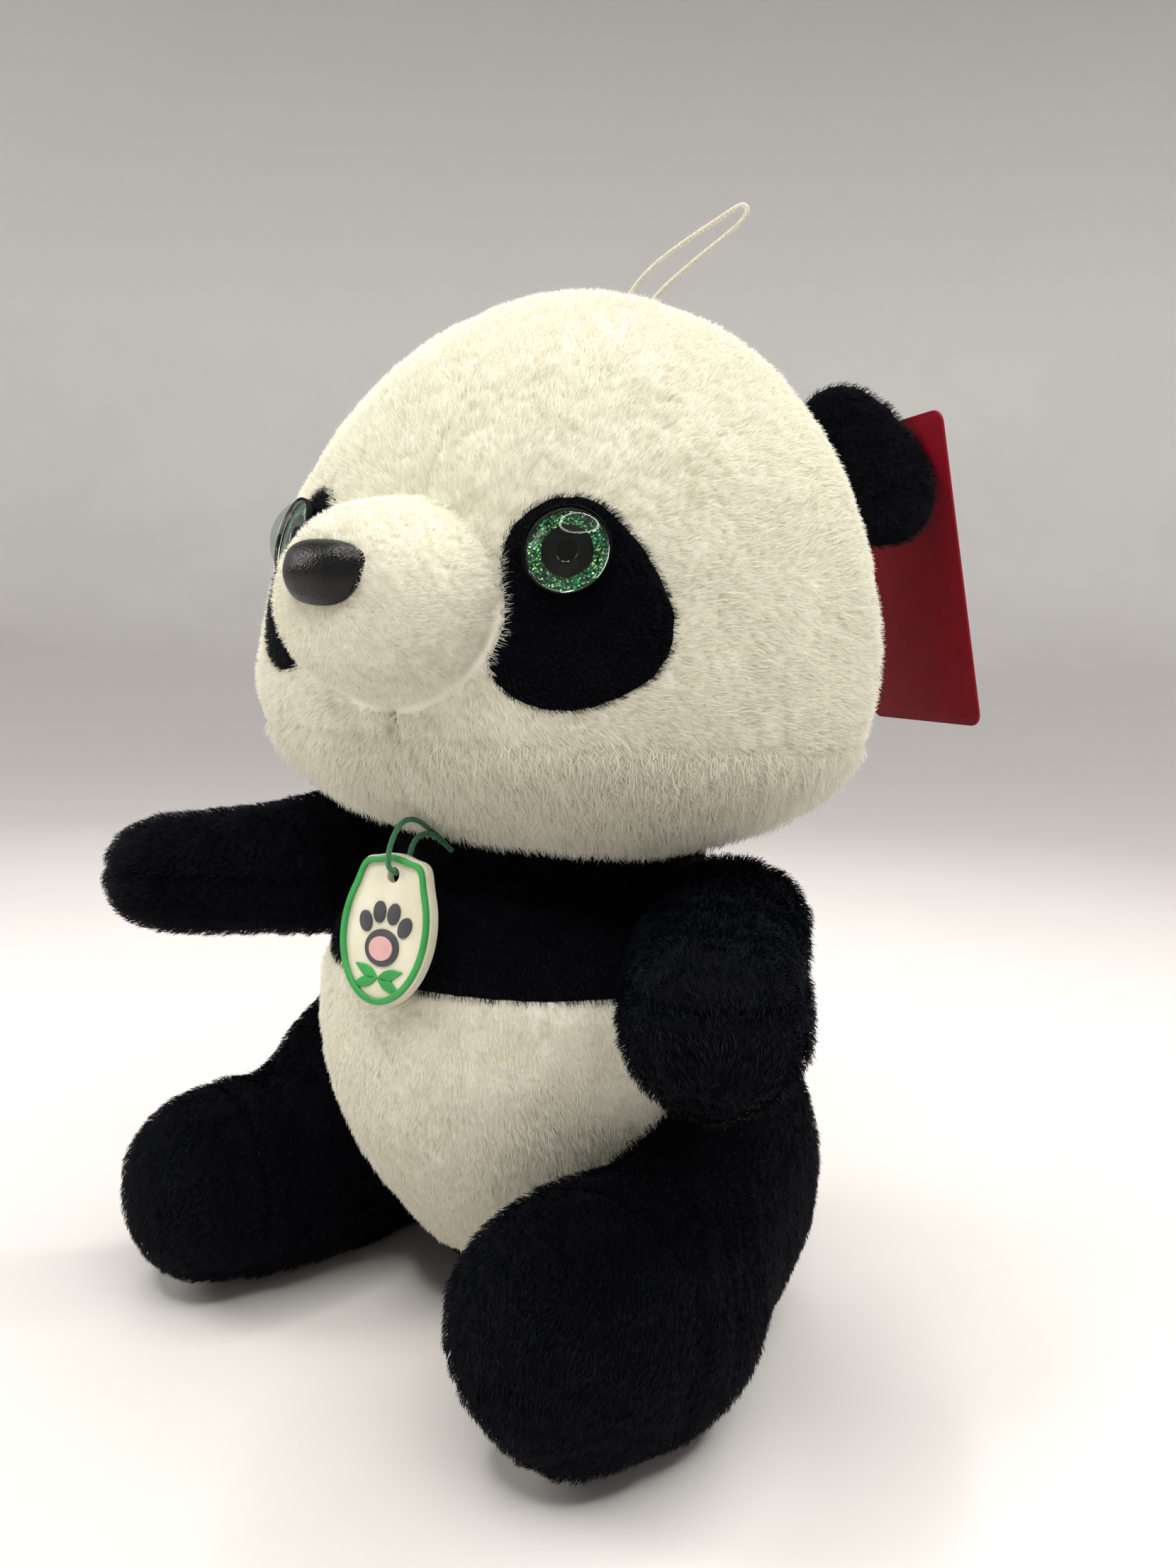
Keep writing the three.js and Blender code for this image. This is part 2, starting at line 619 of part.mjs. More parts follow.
/** A limb lofted through rings; each ring is {centre, across, up} and the first and last are poles. */
function limbSolid(rings, columns, inset) {
  const last = rings.length - 1;
  const skin = (turn, rise) => {
    const { centre, across, up } = rings[Math.round(rise * last)];
    const place = centre.clone();
    if (across) {
      const thin = (axis) => axis.clone().multiplyScalar(1 - inset / axis.length());
      place.addScaledVector(thin(across), cos(turn)).addScaledVector(thin(up), sin(turn));
    }
    return place;
  };
  return solidOf(blob(skin, columns, last));
}

/** Splits a limb into its cover, open at the root, and its stuffing. */
function coverAndFill(makeSolid, rootCut) {
  const outer = makeSolid(0).subtract(rootCut);
  const cover = outer.subtract(makeSolid(FABRIC));
  const fill = makeSolid(FABRIC + GAP).subtract(rootCut);
  return { cover, fill };
}

/** Arm rings from inside the shoulder out to the paw's tip, along a direction. */
function armRings(pivot, direction, inset) {
  const level = point(0, 0, 1);
  const across = direction.clone().cross(level).normalize();
  const up = across.clone().cross(direction).normalize();
  const stations = [0, 0.04, 0.14, 0.3, 0.48, 0.64, 0.78, 0.9, 0.97, 1];
  return stations.map((share) => {
    const atPole = share === 0 || share === 1;
    const start = -14 + inset;
    const centre = pivot.clone().addScaledVector(direction, mix(start, ARM.length - inset, share));
    if (atPole) return { centre };
    const swell = mix(ARM.rootRadius, ARM.pawRadius, share);
    const roundEnd = (Math.max(1 - abs(2 * share - 1) ** 6, 0)) ** 0.5;
    const radius = swell * roundEnd;
    return { centre, across: across.clone().multiplyScalar(radius),
      up: up.clone().multiplyScalar(radius * ARM.flatness) };
  });
}

const ARM_DIRECTIONS = {
  left: point(0.535, -0.835, -0.1).normalize(),
  right: point(-0.78, -0.62, -0.03).normalize(),
};

for (const [sideName, side] of [['left', LEFT], ['right', RIGHT]]) {
  const pivot = shoulderPivot(side);
  const direction = ARM_DIRECTIONS[sideName];
  const rootCut = rod(pivot.clone().addScaledVector(shoulderAxis(side), 0.6),
    pivot.clone().addScaledVector(shoulderAxis(side), -60), 80, 16);
  const start = pivot.clone().addScaledVector(shoulderAxis(side), 4);
  const makeArm = (inset) => limbSolid(armRings(start, direction, inset), 14, inset);
  const { cover, fill } = coverAndFill(makeArm, rootCut);
  const under = block(point(-200, -200, 0), point(200, 200, SHOULDER.z - 0.15));
  const over = block(point(-200, -200, SHOULDER.z + 0.15), point(200, 200, 300));
  addPiece(panda, `arm_upper_panel_${sideName}`, geometryFrom(cover.intersect(over)), cloth(BLACK_PLUSH));
  addPiece(panda, `arm_under_panel_${sideName}`, geometryFrom(cover.intersect(under)), cloth(BLACK_PLUSH));
  addPiece(panda, `arm_stuffing_${sideName}`, geometryFrom(fill), cloth(FIBRE_FILL));
}

// Distance along the leg from the hip, forward negative; half width and half height; middle height and
// distance out from the hip joint.
const LEG_STATIONS = [
  [36, 0, 0, 40, 24], [31, 13, 19, 40, 24], [20, 20, 35, 41, 23], [3, 23, 48, 48, 23],
  [-17, 24, 47, 47, 23], [-36, 25, 39, 39, 23], [-53, 28, 33, 33, 24], [-69, 30, 36, 36, 23],
  [-85, 28, 31, 36, 22], [-95, 18, 20, 37, 22], [-99, 0, 0, 37, 22],
];
const SOLE_SEAM = 76;          // how far in front of the hip the sole is sewn on

for (const [sideName, side] of [['left', LEFT], ['right', RIGHT]]) {
  const out = hipAxis(side);
  const backward = point(-side * sin(hipTurn(side)), cos(hipTurn(side)), 0);
  const heel = LEG_STATIONS[0][0];
  const toe = LEG_STATIONS.at(-1)[0];
  const makeLeg = (inset) => limbSolid(LEG_STATIONS.map(([along, halfWidth, halfHeight, middle, apart]) => {
    const pulled = Math.min(Math.max(along, toe + inset), heel - inset);
    const turned = THREE.MathUtils.clamp((pulled - FOOT.turnFrom) / (FOOT.turnTo - FOOT.turnFrom), 0, 1);
    const sideways = apart - turned * FOOT.inward[sideName];
    const centre = hipPivot(side).addScaledVector(out, sideways).addScaledVector(backward, pulled).setZ(middle);
    if (halfWidth === 0) return { centre };
    return { centre, across: out.clone().multiplyScalar(halfWidth), up: point(0, 0, halfHeight) };
  }), 14, inset);
  const rootCut = rod(hipPivot(side).addScaledVector(out, 0.6),
    hipPivot(side).addScaledVector(out, -90), HIP.inside, 24);
  const { cover, fill } = coverAndFill(makeLeg, rootCut);
  const soleLine = hipPivot(side).addScaledVector(backward, -SOLE_SEAM);
  const soleCut = (from, to) => rod(soleLine.clone().addScaledVector(backward, from),
    soleLine.clone().addScaledVector(backward, to), 150, 16);
  addPiece(panda, `leg_cover_${sideName}`, geometryFrom(cover.intersect(soleCut(0.15, 200))),
    cloth(BLACK_PLUSH));
  addPiece(panda, `sole_panel_${sideName}`, geometryFrom(cover.intersect(soleCut(-0.15, -200))),
    cloth(BLACK_PLUSH));
  addPiece(panda, `leg_stuffing_${sideName}`, geometryFrom(fill), cloth(FIBRE_FILL));
}

// ---------------------------------------------------------------- medal on the chest

// The medal's frame: x across, y up and z out of its face, with the bar above its hole at the origin.
const medalSeat = point(MEDAL.x, -67.5, 138);
const medalFrame = new THREE.Matrix4().makeRotationX(PI / 2 - MEDAL.lean).setPosition(medalSeat);

/** Medal outline: an egg with two round bumps at its upper corners, shrunk by inset. */
function medalOutline(shape, inset) {
  const bump = (angle) => 0.1 * Math.exp(-((angle / 0.22) ** 2));
  const count = 32;
  const points = [];
  for (let k = 0; k < count; k += 1) {
    const angle = (k / count) * 2 * PI;
    const swell = 1 + bump(angle - 0.9) + bump(angle - PI + 0.9) - 0.05 * sin(angle);
    points.push(new THREE.Vector2(
      (MEDAL.halfWidth * swell - inset) * cos(angle),
      (MEDAL.halfHeight * swell - inset) * sin(angle) + MEDAL.bar - 0.95 * MEDAL.halfHeight,
    ));
  }
  return shape.setFromPoints(points);
}

const plateShape = medalOutline(new THREE.Shape(), 0);
const medalHole = new THREE.Path();
medalHole.absarc(0, -3.9, MEDAL.hole, 0, 2 * PI, true);
plateShape.holes.push(medalHole);
const plateGeometry = new THREE.ExtrudeGeometry(plateShape, { depth: MEDAL.plate, bevelEnabled: false,
  curveSegments: 6 });
addPiece(panda, 'medal_plate', plateGeometry.translate(0, 0, -MEDAL.plate / 2).applyMatrix4(medalFrame),
  plastic('#e6e1c8', 0.5));

const rimShape = medalOutline(new THREE.Shape(), 0.2);
rimShape.holes.push(medalOutline(new THREE.Path(), 0.2 + MEDAL.rim));
const rimGeometry = new THREE.ExtrudeGeometry(rimShape, { depth: MEDAL.rimHeight, bevelEnabled: false });
addPiece(panda, 'medal_rim', rimGeometry.translate(0, 0, MEDAL.plate / 2 + 0.1).applyMatrix4(medalFrame),
  plastic('#3f9a52', 0.5));

// The cord comes out under the chin, passes round the medal's top bar through its hole, and goes back.
const stringRoute = [
  [-1.5, -48, 137.5], [-1, -54, 140], [-0.2, -60, 142.2], [0.6, -66, 142.8], [1.2, -70.2, 141.4],
  [1.5, -71.7, 138.4], [1.5, -70.6, 135.6], [1.5, -67.5, 134.4], [1.5, -65.0, 135.7], [1.7, -64.1, 138],
  [2.4, -62.6, 140], [3.2, -58, 139.9], [4, -53, 138.4], [4.5, -48, 136],
].map(([x, y, z]) => point(x, y, z));
addPiece(panda, 'medal_cord', cordAlong(stringRoute, STRING.diameter, 22), cloth('#2c7a48'));

export default panda;
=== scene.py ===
"""Looks of a seated plush panda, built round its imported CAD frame.

Metres, +Z up; the panda faces -Y and its left is +X. Shapes are described in millimetres and scaled by MM.
Head pieces are shaped upright, then leaned as the head is.
"""

import itertools
import math

import bmesh
import bpy
import numpy as np
from mathutils import Matrix, Vector
from mathutils.bvhtree import BVHTree


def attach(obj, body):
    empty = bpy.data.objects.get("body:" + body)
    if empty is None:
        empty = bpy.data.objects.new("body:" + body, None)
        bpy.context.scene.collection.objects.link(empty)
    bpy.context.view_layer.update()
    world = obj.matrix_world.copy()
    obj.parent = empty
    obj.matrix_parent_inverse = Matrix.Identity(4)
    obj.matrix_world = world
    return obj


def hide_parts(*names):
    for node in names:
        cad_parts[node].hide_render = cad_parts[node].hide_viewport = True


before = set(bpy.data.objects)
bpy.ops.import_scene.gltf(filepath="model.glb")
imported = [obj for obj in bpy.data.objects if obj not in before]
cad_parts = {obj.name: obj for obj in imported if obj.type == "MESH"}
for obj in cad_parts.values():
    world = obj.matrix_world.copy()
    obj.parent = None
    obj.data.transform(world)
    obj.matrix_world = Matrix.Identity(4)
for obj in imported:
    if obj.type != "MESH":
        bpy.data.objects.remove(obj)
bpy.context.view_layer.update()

MM = 0.001
SIDES = {"left": 1, "right": -1}
scene = bpy.context.scene

# ------------------------------------------------------------------ dimensions, in millimetres

HEAD = dict(middle=182, crown=106, jowl=43, half_width=95, front=75, back=73, squareness=2.25)
PIVOT = 148                  # height of the neck joint
LEAN = math.radians(4)       # the head leans this far to the panda's left
EYE = dict(x=44, z=215.6, radius=10, dome=5.5, stand=1.4)
MUZZLE = dict(level=200, half_width=31, half_height=27, reach=95.5, root=52)
NOSE = dict(half_width=12.6, half_height=7.6, depth=6.6, y=-94.3, z=206.5, pitch=0.3)
EAR = dict(half_width=27, height=29, layer=3.8, cup=6, turn=47, level=242, lean=0.45)
SHOULDER = (50, -8, 121)
ARM = dict(length=92, root=22, paw=21, flatness=0.9)
ARM_AIM = {"left": (0.535, -0.835, -0.1), "right": (-0.78, -0.62, -0.03)}
SHOULDER_SWELL = {"left": (6, 0), "right": (0, 7)}   # how far each shoulder stands out and up
HIP = dict(x=33, y=8, z=46)
SPLAY = {"left": math.radians(8), "right": math.radians(13)}
FOOT_TURN = {"left": 9, "right": 0}     # how far each foot bends inward
BAND_EDGE = 105              # where the black chest meets the white belly
SIDE_SEAM = 12
SEAT_EDGE = 20
SOLE_SEAM = 76

# Height, half width, front and back of the torso at each level, from the seat up to the neck.
TORSO_LEVELS = [
    (0, 28, -12, 44), (5, 37, -18, 53), (16, 45, -30, 60), (30, 53, -43, 64), (46, 59, -55, 65),
    (66, 63, -65, 63), (86, 64, -69, 60), (104, 62, -68, 57), (118, 56, -63, 52), (127, 47, -55, 43),
    (133, 33, -40, 30),
]

# Distance along the leg, forward negative; half width and half height; middle height and distance out.
LEG_STATIONS = [
    (31, 13, 19, 40, 24), (20, 20, 35, 41, 23), (3, 23, 48, 48, 23), (-17, 24, 47, 47, 23),
    (-36, 25, 39, 39, 23), (-53, 28, 33, 33, 24), (-69, 30, 36, 36, 23), (-85, 28, 31, 36, 22),
    (-95, 18, 20, 37, 22),
]
LEG_ENDS = ((36, 40, 24), (-99, 37, 22))

# Outline of the black pile round an eye: outward and up from the eye's middle.
PATCH_OUTLINE = [
    (2.5, 13.8), (9, 10), (15, 4.5), (21, -3.5), (24.6, -11), (24.8, -18), (21.5, -24.5), (15, -30),
    (7, -33.5), (-2, -34.7), (-9.5, -33), (-15, -29.3), (-16.8, -25), (-14.6, -19), (-14.3, -13),
    (-15.2, -8), (-16.8, -2), (-15.8, 5), (-10.5, 11), (-4, 14.2),
]

lean_matrix = (Matrix.Translation((0, 0, PIVOT * MM)) @ Matrix.Rotation(LEAN, 4, "Y")
               @ Matrix.Translation((0, 0, -PIVOT * MM)))


# ------------------------------------------------------------------ mesh helpers

def linked(name, data):
    """A new object that shows data."""
    thing = bpy.data.objects.new(name, data)
    scene.collection.objects.link(thing)
    return thing


def new_object(name, vertices, faces):
    mesh = bpy.data.meshes.new(name)
    mesh.from_pydata([tuple(v) for v in vertices], [], [tuple(int(i) for i in f) for f in faces])
    mesh.validate()
    return linked(name, mesh)


def copied(source, name):
    piece = linked(name, source.data.copy())
    piece.data.name = name
    return piece


def around(count):
    """Angles evenly round a circle."""
    return np.linspace(0, 2 * math.pi, count, endpoint=False)


def grid_faces(rows, columns, closed=True):
    """Quads between neighbouring rows of a grid whose columns close up."""
    faces = []
    for r in range(rows - 1):
        for c in range(columns if closed else columns - 1):
            following = (c + 1) % columns
            faces.append((r * columns + c, r * columns + following,
                          (r + 1) * columns + following, (r + 1) * columns + c))
    return faces


def capped_grid(name, rings, first, last):
    """A closed surface through rings of points, shape (rows, columns, 3), with a pole at each end."""
    rows, columns, _ = rings.shape
    vertices = list(rings.reshape(-1, 3)) + [first, last]
    faces = grid_faces(rows, columns)
    low, high = rows * columns, rows * columns + 1
    faces += [(low, (c + 1) % columns, c) for c in range(columns)]
    top = (rows - 1) * columns
    faces += [(high, top + c, top + (c + 1) % columns) for c in range(columns)]
    piece = new_object(name, vertices, faces)
    face_outward(piece)
    return piece


def face_outward(piece):
    shape = bmesh.new()
    shape.from_mesh(piece.data)
    bmesh.ops.recalc_face_normals(shape, faces=shape.faces)
    shape.to_mesh(piece.data)
    shape.free()


def points_of(mesh):
    flat = np.empty(len(mesh.vertices) * 3)
    mesh.vertices.foreach_get("co", flat)
    return flat.reshape(-1, 3)


def set_points(mesh, points):
    mesh.vertices.foreach_set("co", np.asarray(points, np.float32).ravel())
    mesh.update()


def normals_of(mesh):
    flat = np.empty(len(mesh.vertices) * 3)
    mesh.vertex_normals.foreach_get("vector", flat)
    return flat.reshape(-1, 3)


def smooth_shading(piece):
    piece.data.polygons.foreach_set("use_smooth", [True] * len(piece.data.polygons))
    piece.data.update()


def bake_modifiers(piece):
    """Makes what the modifiers show the piece's own mesh."""
    view = bpy.context.evaluated_depsgraph_get()
    shown = bpy.data.meshes.new_from_object(piece.evaluated_get(view))
    piece.modifiers.clear()
    piece.data = shown


def subdivided(piece, levels):
    modifier = piece.modifiers.new("subdivide", "SUBSURF")
    modifier.levels = modifier.render_levels = levels
    bake_modifiers(piece)


def remeshed(piece, voxel):
    modifier = piece.modifiers.new("remesh", "REMESH")
    modifier.mode = "VOXEL"
    modifier.voxel_size = voxel * MM
    bake_modifiers(piece)


def relaxed(piece, rounds, factor=0.5):
    modifier = piece.modifiers.new("relax", "SMOOTH")
    modifier.factor = factor
    modifier.iterations = rounds
    bake_modifiers(piece)


def lattice_noise(points, cell, seed):
    """Smooth random values from -1 to 1 with features about one cell across."""
    place = points / cell + 512.0
    base = np.floor(place).astype(np.int64)
    part = place - base
    ease = part * part * (3 - 2 * part)
    total = np.zeros(len(points))
    for corner in itertools.product((0, 1), repeat=3):
        key = base + np.array(corner)
        mixed = (key[:, 0] * 73856093) ^ (key[:, 1] * 19349663) ^ (key[:, 2] * 83492791) ^ (seed * 40503)
        mixed = ((mixed ^ (mixed >> 13)) * 1274126177) & 0x7FFFFFFF
        mixed = ((mixed ^ (mixed >> 15)) * 73244475) & 0x7FFFFFFF
        value = ((mixed >> 7) % 65536) / 32768.0 - 1.0
        weight = np.prod(np.where(np.array(corner) == 1, ease, 1 - ease), axis=1)
        total += value * weight
    return total


def stuff(piece, cap, pinned=None, pressure=4.0):
    """Swells a closed cover with cloth pressure; pinned points, such as seams, stay. cap limits the swell."""
    before = points_of(piece.data)
    cloth = piece.modifiers.new("cloth", "CLOTH")
    cloth.settings.quality = 4
    cloth.settings.mass = 0.3
    cloth.settings.use_pressure = True
    cloth.settings.uniform_pressure_force = pressure
    cloth.settings.effector_weights.gravity = 0
    if pinned is not None:
        group = piece.vertex_groups.new(name="seam")
        for index in np.nonzero(pinned > 0.02)[0]:
            group.add([int(index)], float(pinned[index]), "REPLACE")
        cloth.settings.vertex_group_mass = "seam"
    for step in range(1, 21):
        scene.frame_set(step)
    view = bpy.context.evaluated_depsgraph_get()
    swollen = piece.evaluated_get(view).to_mesh()
    after = points_of(swollen)
    piece.evaluated_get(view).to_mesh_clear()
    piece.modifiers.clear()
    piece.vertex_groups.clear()
    scene.frame_set(1)
    move = after - before
    length = np.linalg.norm(move, axis=1, keepdims=True)
    limit = cap * MM
    set_points(piece.data, before + move * np.minimum(1, limit / np.maximum(length, 1e-9)))


def soften(piece, grooves=(), pile=0.35, lumps=0.5, seed=1):
    """Adds seam grooves, soft lumps of filling and a fine pile relief. A groove is (distances in mm, depth,
    width)."""
    points, normals = points_of(piece.data), normals_of(piece.data)
    offset = lumps * lattice_noise(points, 0.022, seed) + 0.4 * lumps * lattice_noise(points, 0.009, seed + 1)
    offset += pile * lattice_noise(points, 0.0030, seed + 2)
    offset += 0.6 * pile * lattice_noise(points, 0.0016, seed + 3)
    for distance, depth, width in grooves:
        away = distance(points / MM)
        offset -= depth * np.exp(-((away / width) ** 2))
        pucker = np.exp(-((away / (3.2 * width)) ** 2)) * (1 - np.exp(-((away / width) ** 2)))
        offset += 0.35 * depth * pucker * lattice_noise(points, 0.006, seed + 4)
    set_points(piece.data, points + normals * offset[:, None] * MM)


def cut_panel(source, name, planes, thickness=1.6):
    """The part of a closed surface on the inner side of each plane, (point, outward normal) in mm, as a thin
    closed cover."""
    piece = copied(source, name)
    shape = bmesh.new()
    shape.from_mesh(piece.data)
    for place, outward in planes:
        everything = shape.verts[:] + shape.edges[:] + shape.faces[:]
        bmesh.ops.bisect_plane(shape, geom=everything, dist=1e-6, plane_co=Vector(place) * MM,
                               plane_no=Vector(outward), clear_outer=True)
    shape.to_mesh(piece.data)
    shape.free()
    shell = piece.modifiers.new("cover", "SOLIDIFY")
    shell.thickness = thickness * MM
    shell.offset = -1
    bake_modifiers(piece)
    smooth_shading(piece)
    return piece


def filling(source, name, inset=3.4):
    """Loose fibre that fills a cover: the cover's form pulled in, with soft tufts."""
    piece = copied(source, name)
    subdivided(piece, 1)
    points, normals = points_of(piece.data), normals_of(piece.data)
    depth = inset + 0.5 * lattice_noise(points, 0.006, 91) + 0.5
    set_points(piece.data, points - normals * depth[:, None] * MM)
    smooth_shading(piece)
    piece.data.materials.clear()
    piece.data.materials.append(MATERIALS["fibre"])
    return piece


def show(piece, body, node):
    """The piece moves with a body and stands for a CAD node, which it hides."""
    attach(piece, body)
    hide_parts(node)


def leaned(*pieces):
    for piece in pieces:
        piece.data.transform(lean_matrix)
        piece.data.update()


# ------------------------------------------------------------------ materials

def node_material(name):
    material = bpy.data.materials.new(name)
    material.use_nodes = True
    nodes, links = material.node_tree.nodes, material.node_tree.links
    return material, nodes, links, nodes["Principled BSDF"]


def set_inputs(node, values):
    for key, value in values.items():
        node.inputs[key].default_value = value


def add_node(nodes, kind, values=None, operation=None):
    """A new shader node, with its operation and the values of some of its inputs."""
    node = nodes.new(f"ShaderNode{kind}")
    if operation:
        node.operation = operation
    set_inputs(node, values or {})
    return node


def noise_node(nodes, links, scale, detail=4.0, roughness=0.6):
    """Noise in the object's own space."""
    place = add_node(nodes, "TexCoord")
    noise = add_node(nodes, "TexNoise", {"Scale": scale, "Detail": detail, "Roughness": roughness})
    links.new(place.outputs["Object"], noise.inputs["Vector"])
    return noise


def ramp_node(nodes, links, source, stops):
    ramp = add_node(nodes, "ValToRGB")
    ramp.color_ramp.elements[0].position, ramp.color_ramp.elements[0].color = stops[0][0], (*stops[0][1], 1)
    ramp.color_ramp.elements[1].position, ramp.color_ramp.elements[1].color = stops[-1][0], (*stops[-1][1], 1)
    for position, colour in stops[1:-1]:
        ramp.color_ramp.elements.new(position).color = (*colour, 1)
    links.new(source, ramp.inputs["Fac"])
    return ramp


def bump_node(nodes, links, height, strength, distance, normal=None):
    bump = add_node(nodes, "Bump", {"Strength": strength, "Distance": distance})
    links.new(height, bump.inputs["Height"])
    if normal is not None:
        links.new(normal, bump.inputs["Normal"])
    return bump


def plush_material(name, dark, light, sheen, sheen_tint, specular):
    """Pile seen as a surface: mottled where it is brushed, with fine fibre relief and a soft sheen."""
    material, nodes, links, shader = node_material(name)
    brushed = noise_node(nodes, links, 70, 3)
    tone = ramp_node(nodes, links, brushed.outputs["Fac"], [(0.3, dark), (0.7, light)])
    links.new(tone.outputs["Color"], shader.inputs["Base Color"])
    fibres = noise_node(nodes, links, 900, 5, 0.7)
    tufts = noise_node(nodes, links, 260, 3)
    coarse = bump_node(nodes, links, tufts.outputs["Fac"], 0.6, 0.0012)
    fine = bump_node(nodes, links, fibres.outputs["Fac"], 0.7, 0.0005, coarse.outputs["Normal"])
    links.new(fine.outputs["Normal"], shader.inputs["Normal"])
    set_inputs(shader, {"Roughness": 0.92, "Specular IOR Level": specular, "Sheen Weight": sheen,
                        "Sheen Roughness": 0.5, "Sheen Tint": (*sheen_tint, 1)})
    return material


def pile_material(name, root, tip, roughness, specular, glow, variation):
    """One fibre of the pile, each a little different, darker at its root as painted shade deep in the pile.
    """
    material, nodes, links, shader = node_material(name)
    hair = add_node(nodes, "HairInfo")
    # painted shade: the colour runs from a darker root to a lighter tip
    along = ramp_node(nodes, links, hair.outputs["Intercept"], [(0.0, root), (1.0, tip)])
    vary = add_node(nodes, "HueSaturation")
    spread = add_node(nodes, "MapRange", {"To Min": 1 - variation, "To Max": 1 + variation})
    links.new(hair.outputs["Random"], spread.inputs["Value"])
    links.new(spread.outputs["Result"], vary.inputs["Value"])
    links.new(along.outputs["Color"], vary.inputs["Color"])
    links.new(vary.outputs["Color"], shader.inputs["Base Color"])
    set_inputs(shader, {"Roughness": roughness, "Specular IOR Level": specular})
    if glow:
        through = add_node(nodes, "BsdfTranslucent")
        links.new(vary.outputs["Color"], through.inputs["Color"])
        mixed = add_node(nodes, "MixShader", {"Fac": glow})
        links.new(shader.outputs["BSDF"], mixed.inputs[1])
        links.new(through.outputs["BSDF"], mixed.inputs[2])
        links.new(mixed.outputs["Shader"], nodes["Material Output"].inputs["Surface"])
    return material


def moulded_material(name, dark, light, roughness, grain=0.0, grain_scale=1500, specular=0.5):
    """Moulded plastic or coated card: a slightly uneven colour and gloss, with an optional fine grain."""
    material, nodes, links, shader = node_material(name)
    cloud = noise_node(nodes, links, 120, 4)
    tone = ramp_node(nodes, links, cloud.outputs["Fac"], [(0.3, dark), (0.7, light)])
    links.new(tone.outputs["Color"], shader.inputs["Base Color"])
    worn = noise_node(nodes, links, 300, 4)
    gloss = add_node(nodes, "MapRange", {"To Min": max(roughness - 0.06, 0.02), "To Max": roughness + 0.06})
    links.new(worn.outputs["Fac"], gloss.inputs["Value"])
    links.new(gloss.outputs["Result"], shader.inputs["Roughness"])
    shader.inputs["Specular IOR Level"].default_value = specular
    if grain:
        pebbles = add_node(nodes, "TexVoronoi", {"Scale": grain_scale})
        pebbles.feature = "SMOOTH_F1"
        place = add_node(nodes, "TexCoord")
        links.new(place.outputs["Object"], pebbles.inputs["Vector"])
        relief = bump_node(nodes, links, pebbles.outputs["Distance"], grain, 0.0003)
        links.new(relief.outputs["Normal"], shader.inputs["Normal"])
    return material


def glitter_material():
    """Green glitter: small flakes that each face their own way, in clear resin over dark green. The flakes
    differ in green, and the brightest, near white, are painted glints.
    """
    material, nodes, links, shader = node_material("eye_glitter")
    place = add_node(nodes, "TexCoord")
    flakes = add_node(nodes, "TexVoronoi", {"Scale": 2800})
    links.new(place.outputs["Object"], flakes.inputs["Vector"])
    parts = add_node(nodes, "SeparateColor")
    links.new(flakes.outputs["Color"], parts.inputs["Color"])
    # the greens are the flakes' own colours; the top of the ramp, up to near white, is painted glints
    tone = ramp_node(nodes, links, parts.outputs["Red"], [
        (0.0, (0.0003, 0.008, 0.004)), (0.5, (0.001, 0.03, 0.015)), (0.74, (0.003, 0.13, 0.06)),
        (0.88, (0.03, 0.6, 0.2)), (1.0, (1.0, 1.0, 0.4))])
    links.new(tone.outputs["Color"], shader.inputs["Base Color"])
    geometry = add_node(nodes, "NewGeometry")
    centred = add_node(nodes, "VectorMath", {1: (0.5, 0.5, 0.5)}, "SUBTRACT")
    links.new(flakes.outputs["Color"], centred.inputs[0])
    scaled = add_node(nodes, "VectorMath", {"Scale": 1.1}, "SCALE")
    links.new(centred.outputs["Vector"], scaled.inputs[0])
    tilted = add_node(nodes, "VectorMath", operation="ADD")
    links.new(geometry.outputs["Normal"], tilted.inputs[0])
    links.new(scaled.outputs["Vector"], tilted.inputs[1])
    straight = add_node(nodes, "VectorMath", operation="NORMALIZE")
    links.new(tilted.outputs["Vector"], straight.inputs[0])
    links.new(straight.outputs["Vector"], shader.inputs["Normal"])
    set_inputs(shader, {"Metallic": 0.35, "Roughness": 0.28})
    return material


def clear_material():
    """A clear moulded dome: see-through, with a polished face that mirrors the room."""
    material, nodes, links, shader = node_material("eye_lens")
    nodes.remove(shader)
    facing = add_node(nodes, "Fresnel", {"IOR": 1.55})
    through = add_node(nodes, "BsdfTransparent", {"Color": (0.93, 0.98, 0.95, 1)})
    gloss = add_node(nodes, "BsdfGlossy", {"Roughness": 0.03})
    scratches = noise_node(nodes, links, 700, 2)
    relief = bump_node(nodes, links, scratches.outputs["Fac"], 0.02, 0.0001)
    links.new(relief.outputs["Normal"], gloss.inputs["Normal"])
    weaker = add_node(nodes, "Math", {1: 0.3}, "MULTIPLY")
    links.new(facing.outputs["Fac"], weaker.inputs[0])
    mixed = add_node(nodes, "MixShader")
    links.new(weaker.outputs["Value"], mixed.inputs["Fac"])
    links.new(through.outputs["BSDF"], mixed.inputs[1])
    links.new(gloss.outputs["BSDF"], mixed.inputs[2])
    links.new(mixed.outputs["Shader"], nodes["Material Output"].inputs["Surface"])
    return material


def thread_material(name, dark, light, twist):
    """Twisted thread: slanting plies with fine fibres, darker in the grooves between the plies as painted
    shade.
    """
    material, nodes, links, shader = node_material(name)
    place = add_node(nodes, "TexCoord")
    plies = add_node(nodes, "TexWave", {"Scale": twist, "Distortion": 1.2})
    plies.wave_type = "BANDS"
    plies.bands_direction = "DIAGONAL"
    links.new(place.outputs["Object"], plies.inputs["Vector"])
    # painted shade: the colour follows the plies' relief, darker in the grooves
    tone = ramp_node(nodes, links, plies.outputs["Fac"], [(0.0, dark), (1.0, light)])
    links.new(tone.outputs["Color"], shader.inputs["Base Color"])
    relief = bump_node(nodes, links, plies.outputs["Fac"], 0.8, 0.0003)
    links.new(relief.outputs["Normal"], shader.inputs["Normal"])
    set_inputs(shader, {"Roughness": 0.8, "Sheen Weight": 0.3})
    return material


